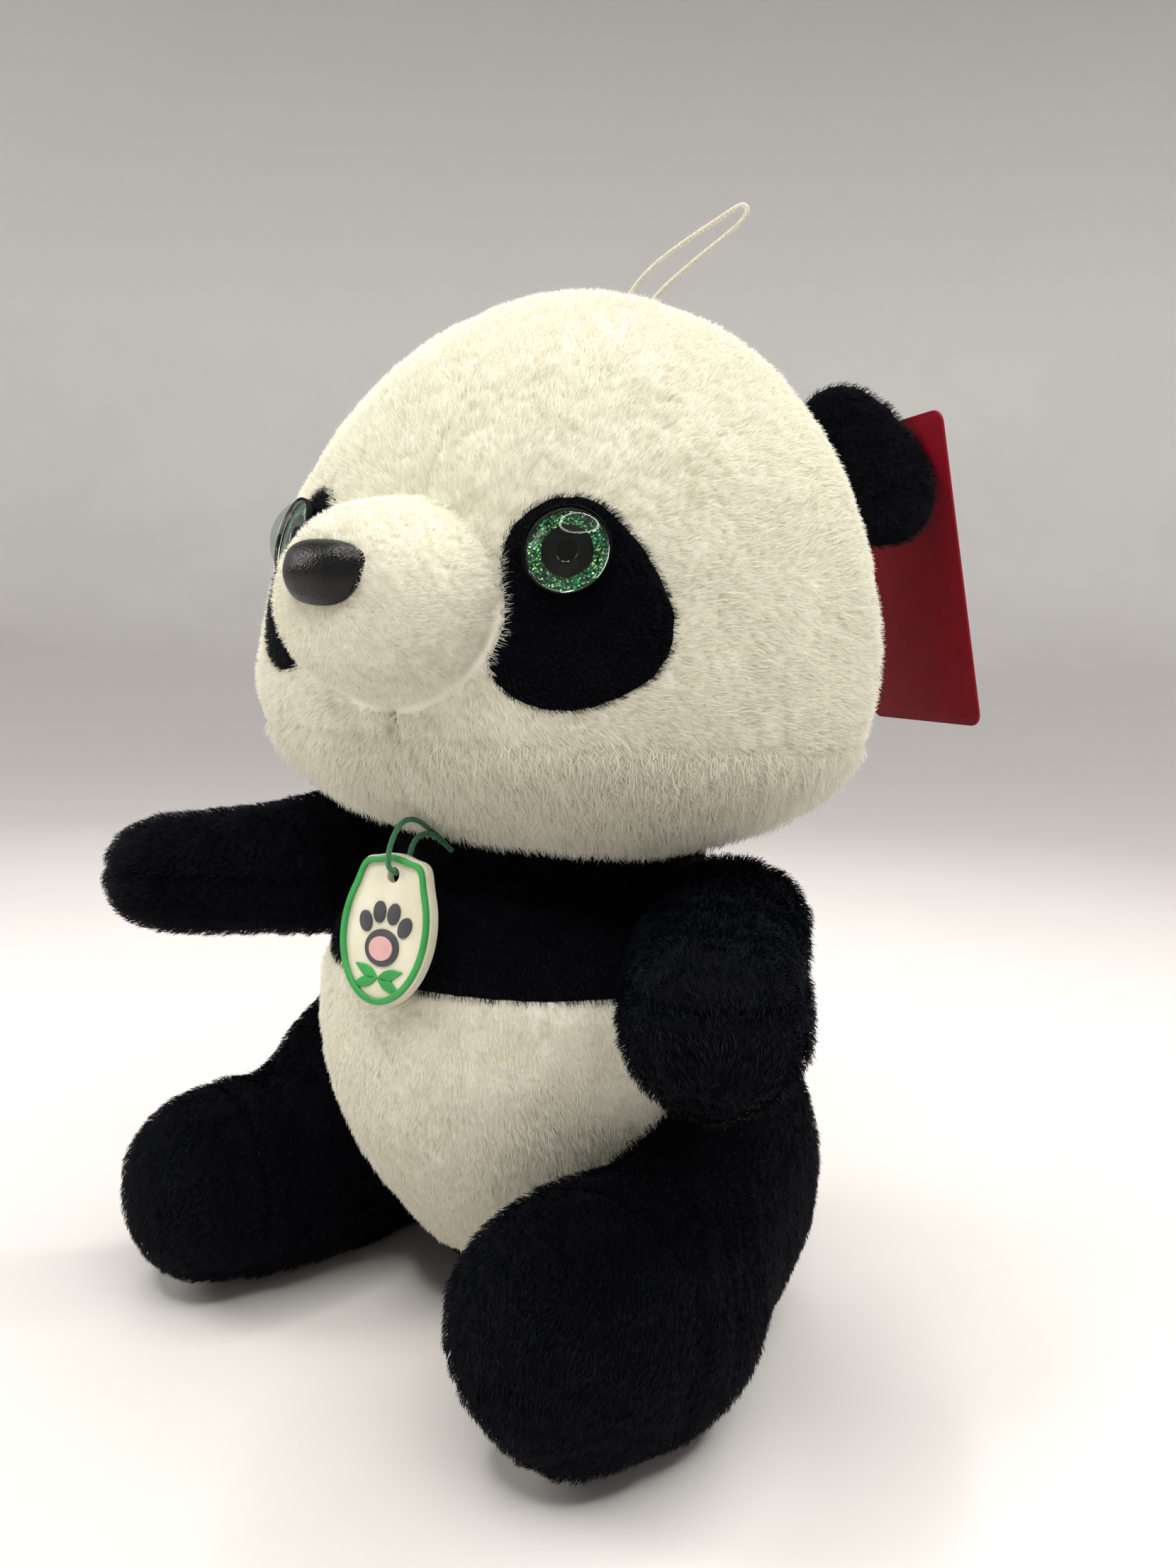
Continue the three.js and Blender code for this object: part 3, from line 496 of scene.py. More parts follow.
MATERIALS = {
    "white": plush_material("white_plush", (0.78, 0.76, 0.65), (0.88, 0.87, 0.78), 0.2, (1, 1, 0.95), 0.2),
    "black": plush_material("black_plush", (0.0011, 0.0012, 0.002), (0.0028, 0.003, 0.005), 0.02,
                            (0.35, 0.42, 0.6), 0.05),
    # the first colour of each pile is its root, darker as painted shade
    "white_pile": pile_material("white_pile", (0.74, 0.71, 0.58), (0.95, 0.94, 0.855), 0.5, 0.3, 0.3, 0.07),
    "black_pile": pile_material("black_pile", (0.0006, 0.0008, 0.0017), (0.0026, 0.0036, 0.0078), 0.36, 0.1,
                                0.0, 0.35),
    "fibre": plush_material("polyester_fill", (0.8, 0.8, 0.78), (0.92, 0.92, 0.9), 0.2, (1, 1, 1), 0.2),
    "nose": moulded_material("nose_plastic", (0.003, 0.003, 0.0034), (0.005, 0.005, 0.0055), 0.27, 0.45,
                             2300, 0.25),
    "pupil": moulded_material("eye_black", (0.0006, 0.0006, 0.0008), (0.0012, 0.0012, 0.0015), 0.5,
                              specular=0.05),
    "washer": moulded_material("washer", (0.7, 0.7, 0.68), (0.82, 0.82, 0.8), 0.5, 0.1),
    "glitter": glitter_material(),
    "lens": clear_material(),
    "card": moulded_material("tag_card", (0.19, 0.005, 0.013), (0.22, 0.006, 0.016), 0.55, 0.05, 900, 0.08),
    "pin": moulded_material("tag_pin", (0.7, 0.68, 0.6), (0.85, 0.82, 0.75), 0.4, 0.1),
    # the first colour of each thread is the painted shade of its grooves
    "loop": thread_material("loop_thread", (0.72, 0.68, 0.54), (0.95, 0.92, 0.8), 900),
    "cord": thread_material("medal_cord", (0.008, 0.12, 0.04), (0.03, 0.3, 0.1), 900),
    "plate": moulded_material("medal_plate", (0.66, 0.62, 0.47), (0.76, 0.72, 0.58), 0.45, 0.05),
    "rim": moulded_material("medal_rim", (0.02, 0.25, 0.045), (0.03, 0.34, 0.07), 0.4, 0.05),
    "mark": moulded_material("medal_mark", (0.03, 0.032, 0.036), (0.06, 0.062, 0.07), 0.5, 0.05),
    "blush": moulded_material("medal_blush", (0.6, 0.33, 0.33), (0.7, 0.42, 0.4), 0.5, 0.05),
}


# ------------------------------------------------------------------ pile made of fibres

def grow_pile(name, piece, body, material, per_mm2, length, flow, keep=None, radius=0.07, lay=0.8, seed=5,
              tuft=3.2, wild=0.22):
    """Fibres over a mesh's outside. flow(points, normals) gives the way they are brushed; keep(points) which
    roots to keep."""
    rng = np.random.default_rng(seed)
    mesh = piece.data
    mesh.calc_loop_triangles()
    count = len(mesh.loop_triangles)
    corners = np.empty(count * 3, np.int64)
    mesh.loop_triangles.foreach_get("vertices", corners)
    corners = corners.reshape(-1, 3)
    points, normals = points_of(mesh), normals_of(mesh)
    a, b, c = (points[corners[:, k]] for k in range(3))
    area = np.linalg.norm(np.cross(b - a, c - a), axis=1) / 2
    total = int(area.sum() / MM**2 * per_mm2)
    chosen = rng.choice(count, total, p=area / area.sum())
    u, v = rng.random(total), rng.random(total)
    flip = u + v > 1
    u[flip], v[flip] = 1 - u[flip], 1 - v[flip]
    weights = np.stack([1 - u - v, u, v], 1)
    roots = np.einsum("nk,nkd->nd", weights, points[corners[chosen]])
    ups = np.einsum("nk,nkd->nd", weights, normals[corners[chosen]])
    ups /= np.linalg.norm(ups, axis=1, keepdims=True)
    if keep is not None:
        kept = keep(roots)
        roots, ups = roots[kept], ups[kept]
    total = len(roots)
    brushed = flow(roots, ups)
    brushed -= ups * np.sum(brushed * ups, axis=1, keepdims=True)
    brushed /= np.maximum(np.linalg.norm(brushed, axis=1, keepdims=True), 1e-6)
    sideways = np.cross(ups, brushed)
    swirl = 0.5 * lattice_noise(roots, 0.018, seed + 1) + 0.4 * lattice_noise(roots, tuft * MM, seed + 2)
    swirl += wild * rng.normal(size=total)
    along = brushed * np.cos(swirl)[:, None] + sideways * np.sin(swirl)[:, None]
    slant = lay + 0.15 * lattice_noise(roots, tuft * MM, seed + 3) + 0.12 * rng.normal(size=total)
    slant = np.clip(slant, 0.05, 1.25)
    size = length * MM * (0.75 + 0.12 * lattice_noise(roots, 0.01, seed + 4) + 0.25 * rng.random(total))
    steps = 4
    strand = np.empty((total, steps, 3))
    for k in range(steps):
        share = k / (steps - 1)
        angle = slant * (0.55 + 0.6 * share)
        rise = np.cos(angle) * share
        run = np.sin(angle) * share
        strand[:, k] = roots + size[:, None] * (ups * rise[:, None] + along * run[:, None])
    strand[:, 0] -= ups * 0.0003
    curves = bpy.data.hair_curves.new(name)
    curves.add_curves([steps] * total)
    curves.points.foreach_set("position", strand.astype(np.float32).ravel())
    thickness = curves.attributes.get("radius") or curves.attributes.new("radius", "FLOAT", "POINT")
    taper = np.tile(np.array([1.0, 0.95, 0.75, 0.25]) * radius * MM, total)
    thickness.data.foreach_set("value", taper.astype(np.float32))
    curves.materials.append(material)
    pile = linked(name, curves)
    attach(pile, body)
    return pile


def steady_flow(direction):
    return lambda points, normals: np.tile(np.array(direction, float), (len(points), 1))


def flow_from(place):
    """Brushed away from a place, in mm."""
    centre = np.array(place, float) * MM
    return lambda points, normals: points - centre


# ------------------------------------------------------------------ camera, light and floor

def make_camera():
    azimuth, pitch, roll = math.radians(35), math.radians(6.14), math.radians(1.5)
    ahead = Vector((-math.sin(azimuth) * math.cos(pitch), math.cos(azimuth) * math.cos(pitch),
                    -math.sin(pitch)))
    right = ahead.cross(Vector((0, 0, 1))).normalized()
    up = right.cross(ahead)
    turned_up = up * math.cos(roll) - right * math.sin(roll)
    turned_right = right * math.cos(roll) + up * math.sin(roll)
    data = bpy.data.cameras.new("camera")
    data.lens = 27.67
    data.sensor_width = 36
    data.clip_start = 0.01
    camera = linked("camera", data)
    rotation = Matrix((turned_right, turned_up, -ahead)).transposed().to_4x4()
    camera.matrix_world = Matrix.Translation((0.2093, -0.2832, 0.190)) @ rotation
    scene.camera = camera


def area_light(name, place, target, size, power, colour):
    data = bpy.data.lights.new(name, "AREA")
    data.shape = "RECTANGLE"
    data.size, data.size_y = size
    data.energy = power
    data.color = colour
    light = linked(name, data)
    light.location = place
    light.rotation_euler = (Vector(target) - Vector(place)).to_track_quat("-Z", "Y").to_euler()
    return light


PAINTED_SHADE_REACH = 3.5            # metres over which the backdrop's colour is graded: painted shade on the floor, painted light up the wall


def make_stage():
    """A pale sweep all round: flat under the panda, then curving up. Its colour is graded with distance as
    painted shade and painted light: darker at mid distance, brighter up the wall.
    """
    profile = [(0.02, 0), (0.3, 0), (0.7, 0), (1.1, 0), (1.5, 0.02), (1.9, 0.12), (2.25, 0.35), (2.5, 0.75),
               (2.62, 1.3), (2.65, 2.0), (2.66, 2.8)]
    columns = 96
    turns = around(columns)
    rings = np.array([[(r * math.cos(t), r * math.sin(t), z) for t in turns] for r, z in profile])
    vertices = list(rings.reshape(-1, 3)) + [(0, 0, 0)]
    faces = [tuple(reversed(f)) for f in grid_faces(len(profile), columns)]
    faces += [(len(vertices) - 1, c, (c + 1) % columns) for c in range(columns)]
    sweep = new_object("floor", vertices, faces)
    smooth_shading(sweep)
    subdivided(sweep, 1)
    material, nodes, links, shader = node_material("floor")
    place = add_node(nodes, "TexCoord")
    distance = add_node(nodes, "VectorMath", operation="LENGTH")
    links.new(place.outputs["Object"], distance.inputs[0])
    paper = noise_node(nodes, links, 3, 3)
    paper_mottle_and_painted_shade = add_node(nodes, "Math", {1: 0.08}, "MULTIPLY_ADD")
    links.new(paper.outputs["Fac"], paper_mottle_and_painted_shade.inputs[0])
    share = add_node(nodes, "Math", {1: PAINTED_SHADE_REACH}, "DIVIDE")
    links.new(distance.outputs["Value"], share.inputs[0])
    links.new(share.outputs["Value"], paper_mottle_and_painted_shade.inputs[2])
    # painted shade and painted light: the floor darkens from under the panda out to about two metres, and the
    # wall is painted brighter; the paper noise adds a slight random mottle
    tone = ramp_node(nodes, links, paper_mottle_and_painted_shade.outputs["Value"], [
        (0.0, (0.70, 0.675, 0.66)), (0.16, (0.66, 0.635, 0.62)), (0.34, (0.5, 0.478, 0.475)),
        (0.6, (0.55, 0.53, 0.525)), (0.8, (0.86, 0.845, 0.83)), (1.0, (0.9, 0.885, 0.87))])
    links.new(tone.outputs["Color"], shader.inputs["Base Color"])
    shader.inputs["Roughness"].default_value = 0.85
    sweep.data.materials.append(material)


def ring_pattern(light, inner, outer, brightness):
    """Lets a band of the lamp's face shine, between two shares of its half width, and the middle faintly."""
    light.data.use_nodes = True
    nodes, links = light.data.node_tree.nodes, light.data.node_tree.links
    face = add_node(nodes, "NewGeometry")
    centred = add_node(nodes, "VectorMath", {1: (0.5, 0.5, 0)}, "SUBTRACT")
    links.new(face.outputs["Parametric"], centred.inputs[0])
    reach = add_node(nodes, "VectorMath", operation="LENGTH")
    links.new(centred.outputs["Vector"], reach.inputs[0])
    band = add_node(nodes, "ValToRGB")
    ramp = band.color_ramp
    ramp.elements[0].position, ramp.elements[0].color = inner / 2 - 0.02, (0.03, 0.03, 0.03, 1)
    ramp.elements[1].position, ramp.elements[1].color = inner / 2, (1, 1, 1, 1)
    ramp.elements.new(outer / 2).color = (1, 1, 1, 1)
    ramp.elements.new(outer / 2 + 0.02).color = (0, 0, 0, 1)
    links.new(reach.outputs["Value"], band.inputs["Fac"])
    level = add_node(nodes, "Math", {1: brightness}, "MULTIPLY")
    links.new(band.outputs["Color"], level.inputs[0])
    links.new(level.outputs["Value"], nodes["Emission"].inputs["Strength"])


def make_light():
    """A large lamp overhead whose rim shines, a soft light from the front left and a pale room."""
    world = bpy.data.worlds.new("room")
    world.use_nodes = True
    world.node_tree.nodes["Background"].inputs["Color"].default_value = (0.9, 0.89, 0.9, 1)
    world.node_tree.nodes["Background"].inputs["Strength"].default_value = 0.24
    scene.world = world
    scene.view_settings.view_transform = "Standard"
    lamp = area_light("lamp", (0.3, -0.1, 1.45), (0.05, -0.05, 0.2), (1.8, 1.4), 105, (1, 0.985, 0.94))
    lamp.data.shape = "ELLIPSE"
    ring_pattern(lamp, 0.84, 0.94, 1.6)
    area_light("window", (-1.1, -0.7, 0.95), (0, 0, 0.15), (0.5, 0.9), 9, (1, 0.985, 0.95))


make_camera()
make_stage()
make_light()


# ------------------------------------------------------------------ cords

def cord_curve(name, route, diameter, material):
    data = bpy.data.curves.new(name, "CURVE")
    data.dimensions = "3D"
    data.bevel_depth = diameter / 2
    data.bevel_resolution = 4
    data.resolution_u = 6
    data.use_fill_caps = True
    spline = data.splines.new("NURBS")
    spline.points.add(len(route) - 1)
    for point, place in zip(spline.points, route):
        point.co = (*place, 1)
    spline.use_endpoint_u = True
    spline.order_u = 3
    data.materials.append(material)
    return linked(name, data)


CORD_DIAMETER = 0.0014
loop_route = [lean_matrix @ (Vector(p) * MM) for p in [
    (-10, 23, 285), (-9.2, 23.5, 289), (-6, 24.5, 296.5), (-0.5, 25.5, 303), (7, 26.3, 308), (14, 27, 312),
    (20, 27.3, 315), (24.5, 27.5, 317.3), (27.5, 27.8, 318.6), (29.2, 28.2, 317), (27.5, 28.6, 314.4),
    (22.5, 28.8, 311), (16.5, 28.5, 307.2), (9, 28, 302), (2.5, 27, 296.5), (-2, 25.3, 290),
    (-3.6, 24.2, 285)]]
hang_loop = cord_curve("hang_loop_thread", loop_route, CORD_DIAMETER, MATERIALS["loop"])
show(hang_loop, "hang_loop", "hang_loop")

medal_route = [Vector(p) * MM for p in [
    (-0.5, -48, 139.5), (-0.4, -54, 144), (-0.1, -60, 147.5), (0.5, -65.5, 147.5), (1.1, -69.6, 143.5),
    (1.5, -71.7, 138.4), (1.5, -70.6, 135.6), (1.5, -67.5, 134.4), (1.5, -65.0, 135.7), (1.7, -64.1, 138),
    (1.9, -62.6, 142.5), (1.8, -58, 144), (1.7, -53, 142), (1.6, -48, 138)]]
medal_cord = cord_curve("medal_cord_thread", medal_route, CORD_DIAMETER, MATERIALS["cord"])
show(medal_cord, "torso", "medal_cord")


# ------------------------------------------------------------------ head

def head_skin(turn, rise, inset=0.0):
    """Head surface in mm: turn once round from +X, rise from the underside, 0, to the crown, 1."""
    low = rise < 0.42
    angle = (rise - 0.42) * np.where(low, (math.pi / 2) / 0.42, (math.pi / 2) / 0.58)
    power = np.where(low, 2 / HEAD["squareness"], 1.0)
    spread = np.abs(np.cos(angle)) ** power
    lift = np.sign(np.sin(angle)) * np.abs(np.sin(angle)) ** power
    depth = np.where(np.sin(turn) < 0, HEAD["front"], HEAD["back"])
    height = np.where(low, HEAD["jowl"], HEAD["crown"]) - inset
    return np.stack([
        (HEAD["half_width"] - inset) * spread * np.cos(turn),
        (depth - inset) * spread * np.sin(turn),
        HEAD["middle"] + lift * height,
    ], -1)


def face_front(x, z, proud=0.0):
    """How far the face reaches at a place x, z above the widest level: the y of its front."""
    share = (z - HEAD["middle"]) / (HEAD["crown"] + proud)
    level = 1 - share**2 - (x / (HEAD["half_width"] + proud)) ** 2
    return -(HEAD["front"] + proud) * math.sqrt(max(level, 0))


def lopsided(points):
    """The stuffing sits a little to one side: the back left of the head is flatter, and the cheeks and the
    chin sag."""
    aside = np.array((0.82, 0.57, 0))
    far = points @ aside
    eye_gap = np.linalg.norm(points - np.array((-EYE["x"], -68, EYE["z"])), axis=1)
    shift = -4.5 * (far / 85) ** 2 * (1 - np.exp(-((eye_gap / 30) ** 2))) * np.where(far > 0, 1, 0.15)
    shift -= 3.5 * np.exp(-(((points[:, 2] - 155) / 25) ** 2)) * np.clip(np.abs(far) / 50, 0, 1)
    droop = -3 * np.clip((172 - points[:, 2]) / 20, 0, 1) * np.clip(-points[:, 1] / 40, 0, 1)
    return points + shift[:, None] * aside + droop[:, None] * np.array((0, 0, 1))


def make_head():
    rises = np.linspace(0.02, 0.98, 60)
    turns = around(96)
    grid = head_skin(turns[None, :] + 0 * rises[:, None], rises[:, None] + 0 * turns[None, :], 1.0) * MM
    low = (0, 0, (HEAD["middle"] - HEAD["jowl"] + 1) * MM)
    high = (0, 0, (HEAD["middle"] + HEAD["crown"] - 1) * MM)
    head = capped_grid("head_form", grid, low, high)
    remeshed(head, 5.5)
    relaxed(head, 3)
    points = lopsided(points_of(head.data) / MM)
    set_points(head.data, points * MM)
    chin = np.exp(-((points[:, 0] / 5) ** 2)) * (points[:, 2] < 215)
    stuff(head, 2.0, pinned=chin)
    return head


head_form = make_head()
head_stuffing = filling(head_form, "head_fill")
subdivided(head_form, 2)


def past_muzzle(p):
    """Distance from the line where the muzzle is sewn on."""
    reach = np.hypot(p[:, 0] / MUZZLE["half_width"], (p[:, 2] - MUZZLE["level"]) / MUZZLE["half_height"])
    return np.where((p[:, 1] < 0) & (p[:, 2] < 216), np.abs((reach - 1) * 29 - 2), 99)


soften(head_form, grooves=[
    (lambda p: np.where((p[:, 1] < 0) & (p[:, 2] < 190), np.abs(p[:, 0] - 1.0), 99), 2.8, 1.8),
    (lambda p: np.where((p[:, 1] > 0) | (p[:, 2] > 215), np.abs(p[:, 0] - 1.0), 99), 0.7, 1.4),
    (past_muzzle, 0.9, 4.5),
], pile=0.25, lumps=0.6, seed=11)
head_tree = BVHTree.FromObject(head_form, bpy.context.evaluated_depsgraph_get())


def eye_axes(side):
    """Middle of an eye's seat, and its outward, sideways (away from the nose) and up directions."""
    x, z = EYE["x"], EYE["z"]
    seat = Vector((side * x, face_front(x, z, EYE["stand"]), z)) * MM
    outward = Vector((side * x / HEAD["half_width"] ** 2, seat.y / MM / HEAD["front"] ** 2,
                      (z - HEAD["middle"]) / HEAD["crown"] ** 2)).normalized()
    sideways = Vector((0, 0, 1)).cross(outward).normalized() * side
    up = outward.cross(sideways) * side
    return seat, outward, sideways, up


def closed_spline(points, count):
    """A smooth closed line through control points, as count points."""
    control = np.array(points, float)
    place = np.linspace(0, len(control), count, endpoint=False)
    whole = np.floor(place).astype(int)
    t = (place - whole)[:, None]
    p0, p1, p2, p3 = (control[(whole + k) % len(control)] for k in (-1, 0, 1, 2))
    return 0.5 * (2 * p1 + (p2 - p0) * t + (2 * p0 - 5 * p1 + 4 * p2 - p3) * t**2
                  + (3 * p1 - p0 - 3 * p2 + p3) * t**3)


def patch_places(side, reach):
    """Points of the patch at a share of the way out to its edge, laid on the head, with normals."""
    seat, outward, sideways, up = eye_axes(side)
    middle = np.array([5.0, -12.0])
    found = []
    for s, v in middle + (closed_spline(PATCH_OUTLINE, 72) - middle) * reach:
        above = seat + (sideways * float(s) + up * float(v)) * MM + outward * 0.05
        hit, normal, _, _ = head_tree.ray_cast(above, -outward)
        found.append((hit, normal))
    return found


def make_patch(side_name, side):
    """The black patch: a thin pad laid on the head, thinner at its edge."""
    rings, under = [], []
    for reach in np.linspace(0.04, 1, 16):
        thick = 1.7 * MM * math.sqrt(max(1 - reach**4, 0)) + 0.0002
        places = patch_places(side, reach)
        rings.append([tuple(hit + normal * thick) for hit, normal in places])
        under.append([tuple(hit - normal * 0.0006) for hit, normal in places])
    grid = np.array(rings + under[::-1])
    patch = capped_grid(f"eye_patch_cover_{side_name}", grid, grid[0].mean(0), grid[-1].mean(0))
    subdivided(patch, 1)
    points, normals = points_of(patch.data), normals_of(patch.data)
    relief = 0.25 * lattice_noise(points, 0.003, 31) + 0.2 * lattice_noise(points, 0.0016, 32)
    set_points(patch.data, points + normals * relief[:, None] * MM)
    smooth_shading(patch)
    patch.data.materials.append(MATERIALS["black"])
    return patch


def inside_patch(points, margin=0.0):
    """Which upright head points lie under a patch."""
    inside = np.zeros(len(points), bool)
    outline = closed_spline(PATCH_OUTLINE, 72)
    for side in SIDES.values():
        seat, outward, sideways, up = (np.array(v) for v in eye_axes(side))
        local = (points - seat) / MM
        s, v = local @ sideways, local @ up
        near = (local @ outward > -30) & (points[:, 1] < 0)
        turns = np.arctan2(v + 12, s - 5)
        edge_turns = np.arctan2(outline[:, 1] + 12, outline[:, 0] - 5)
        order = np.argsort(edge_turns)
        reach = np.linalg.norm(outline - np.array([5, -12]), axis=1)[order]
        limit = np.interp(turns, edge_turns[order], reach, period=2 * math.pi)
        inside |= near & (np.hypot(s - 5, v + 12) < limit + margin)
    return inside


def muzzle_surface(turn, rise, inset=0.0):
    along = np.sin(rise * math.pi / 2)
    taper = np.sqrt(np.maximum(1 - rise**3, 0))
    slim = 1 - 0.17 * along
    reach = MUZZLE["root"] + (MUZZLE["reach"] - inset - MUZZLE["root"]) * along
    return np.stack([
        (MUZZLE["half_width"] - inset) * taper * slim * np.cos(turn),
        -reach + 0 * turn,
        MUZZLE["level"] + 1.5 * along + (MUZZLE["half_height"] - inset) * taper * slim * np.sin(turn),
    ], -1)


def make_muzzle():
    rises = np.sin(np.linspace(0, math.pi / 2, 26)[:-1])
    turns = around(64)
    grid = muzzle_surface(turns[None, :] + 0 * rises[:, None], rises[:, None] + 0 * turns[None, :], 0.5) * MM
    root = (0, -MUZZLE["root"] * MM, MUZZLE["level"] * MM)
    tip = (0, -(MUZZLE["reach"] - 0.5) * MM, (MUZZLE["level"] + 1.5) * MM)
    muzzle = capped_grid("muzzle_form", grid, root, tip)
    remeshed(muzzle, 3.5)
    relaxed(muzzle, 2)
    stuff(muzzle, 1.2)
    return muzzle


muzzle_form = make_muzzle()
muzzle_stuffing = filling(muzzle_form, "muzzle_fill", 3.0)
subdivided(muzzle_form, 2)
soften(muzzle_form, pile=0.3, lumps=0.5, seed=21)
muzzle_cover = cut_panel(muzzle_form, "muzzle_plush", [((0, -MUZZLE["root"] - 4, 0), (0, 1, 0))])
muzzle_cover.data.materials.append(MATERIALS["white"])

head_covers = {
    name: cut_panel(head_form, f"head_plush_{name}", [((1 + side * 0.1, 0, 0), (-side, 0, 0))])
    for name, side in SIDES.items()
}
for cover in head_covers.values():
    cover.data.materials.append(MATERIALS["white"])
patches = {name: make_patch(name, side) for name, side in SIDES.items()}


def lathe(name, profile, columns, place):
    """A closed turned piece from [radius, height] pairs in mm about +Z, placed by a matrix in metres."""
    turns = around(columns)
    rings = np.array([[(r * math.cos(t), r * math.sin(t), z) for t in turns] for r, z in profile[1:-1]]) * MM
    piece = capped_grid(name, rings, (0, 0, profile[0][1] * MM), (0, 0, profile[-1][1] * MM))
    piece.data.transform(place)
    smooth_shading(piece)
    return piece


def eye_matrix(side):
    seat, outward, _, _ = eye_axes(side)
    turn = outward.to_track_quat("Z", "Y").to_matrix().to_4x4()
    return Matrix.Translation(seat) @ turn


def make_eye(side_name, side):
    """Clear dome with its stem, a domed black pupil and the glitter ring under it."""
    place = eye_matrix(side)
    radius, dome = EYE["radius"], EYE["dome"]
    edge, rise = radius - 0.35, dome - 0.7
    ball = (edge**2 + rise**2) / (2 * rise)
    lens = [(0, -16), (1.2, -16), (2.0, -15.4), (2.2, -14.5), (2.2, 1.55), (2.6, 1.75), (6, 1.8), (9, 1.8),
            (edge - 0.1, 1.9), (edge, 2.1), (edge, 2.45)]
    lens += [(ball * math.sin(t), 2.5 + rise - ball * (1 - math.cos(t)))
             for t in np.linspace(math.asin(edge / ball) * 0.99, 0.03, 24)]
    lens.append((0, 2.5 + rise))
    dome_piece = lathe(f"eye_dome_{side_name}", lens, 72, place)
    dome_piece.data.materials.append(MATERIALS["lens"])
    pupil = [(0, 1.2), (2.6, 1.2), (5.6, 1.22), (5.95, 1.3), (6.0, 1.42), (5.8, 1.52), (4, 1.64), (2, 1.7),
             (0, 1.71)]
    pupil_piece = lathe(f"eye_black_{side_name}", pupil, 56, place)
    pupil_piece.data.materials.append(MATERIALS["pupil"])
    disc = [(0, 0.3), (5, 0.3), (9.5, 0.3), (10.1, 0.5), (10.2, 1.2), (10.2, 2.5), (10.05, 2.75), (9.85, 2.6),
            (9.75, 1.6), (9.6, 1.05), (9.2, 1.0), (7, 0.98), (3, 0.98), (0, 0.98)]
    disc_piece = lathe(f"eye_iris_{side_name}", disc, 72, place)
    disc_piece.data.materials.append(MATERIALS["glitter"])
    disc_piece.data.materials.append(MATERIALS["pupil"])
    inward = place.inverted()
    for face in disc_piece.data.polygons:
        face.material_index = int((inward @ face.center).xy.length > 9.35 * MM)
    return {"lens": dome_piece, "pupil": pupil_piece, "glitter_disc": disc_piece}


eyes = {name: make_eye(name, side) for name, side in SIDES.items()}


def make_nose():
    """A rounded triangle, broad above and full in front, with a softly rolled lower edge."""
    columns, rings = 96, 26
    turns = around(columns)
    grid = []
    for reach in np.linspace(0.05, 1, rings):
        width = NOSE["half_width"] * (1 + 0.12 * np.sin(turns) - 0.08 * np.cos(2 * turns))
        out = np.sin(reach * math.pi / 2)
        x = width * np.sign(np.cos(turns)) * np.abs(np.cos(turns)) ** 0.88 * out
        y = NOSE["half_height"] * np.sign(np.sin(turns)) * np.abs(np.sin(turns)) ** 0.88 * out
        z = NOSE["depth"] * np.cos(reach * math.pi / 2) + 0.6
        z = z - 0.9 * np.exp(-(((y + 5.5) / 2.6) ** 2)) * (1 - reach**6)
        grid.append(np.stack([x, y, z], 1))
    edge = grid[-1]
    for share, depth in ((0.99, 0.1), (0.96, -0.5), (0.9, -0.9), (0.5, -1.0)):
        grid.append(edge * np.array([share, share, 0]) + np.array([0, 0, depth]))
    grid = np.array(grid) * MM
    nose = capped_grid("nose_moulding", grid, (0, 0, (NOSE["depth"] + 0.6) * MM), (0, 0, -1.0 * MM))
    subdivided(nose, 1)
    smooth_shading(nose)
    place = Matrix.Translation(Vector((0, NOSE["y"], NOSE["z"])) * MM) @ Matrix.Rotation(
        math.pi / 2 - NOSE["pitch"], 4, "X")
    stem = lathe("nose_stem", [(0, -15), (1.6, -15), (2.2, -14.4), (2.2, 1), (2.2, 3), (0, 3)], 32, Matrix())
    parts = bmesh.new()
    parts.from_mesh(nose.data)
    parts.from_mesh(stem.data)
    parts.to_mesh(nose.data)
    parts.free()
    bpy.data.objects.remove(stem)
    nose.data.transform(place)
    smooth_shading(nose)
    nose.data.materials.append(MATERIALS["nose"])
    return nose


nose = make_nose()


def ear_matrix(side):
    """x along the ear's root, y out of the head and z towards the way the panda faces, upright."""
    turn = math.radians(EAR["turn"])
    spread = math.sqrt(1 - ((EAR["level"] - HEAD["middle"]) / HEAD["crown"]) ** 2)
    seat = Vector((side * HEAD["half_width"] * spread * math.cos(turn),
                   HEAD["back"] * spread * math.sin(turn), EAR["level"]))
    outward = Vector((side * math.cos(turn), math.sin(turn) * 0.75, EAR["lean"])).normalized()
    facing = Vector((-0.1 * side, -0.98, 0.1))
    facing = (facing - outward * facing.dot(outward)).normalized()
    along = outward.cross(facing)
    rotation = Matrix((along, outward, facing)).transposed().to_4x4()
    return Matrix.Translation(seat * MM) @ rotation


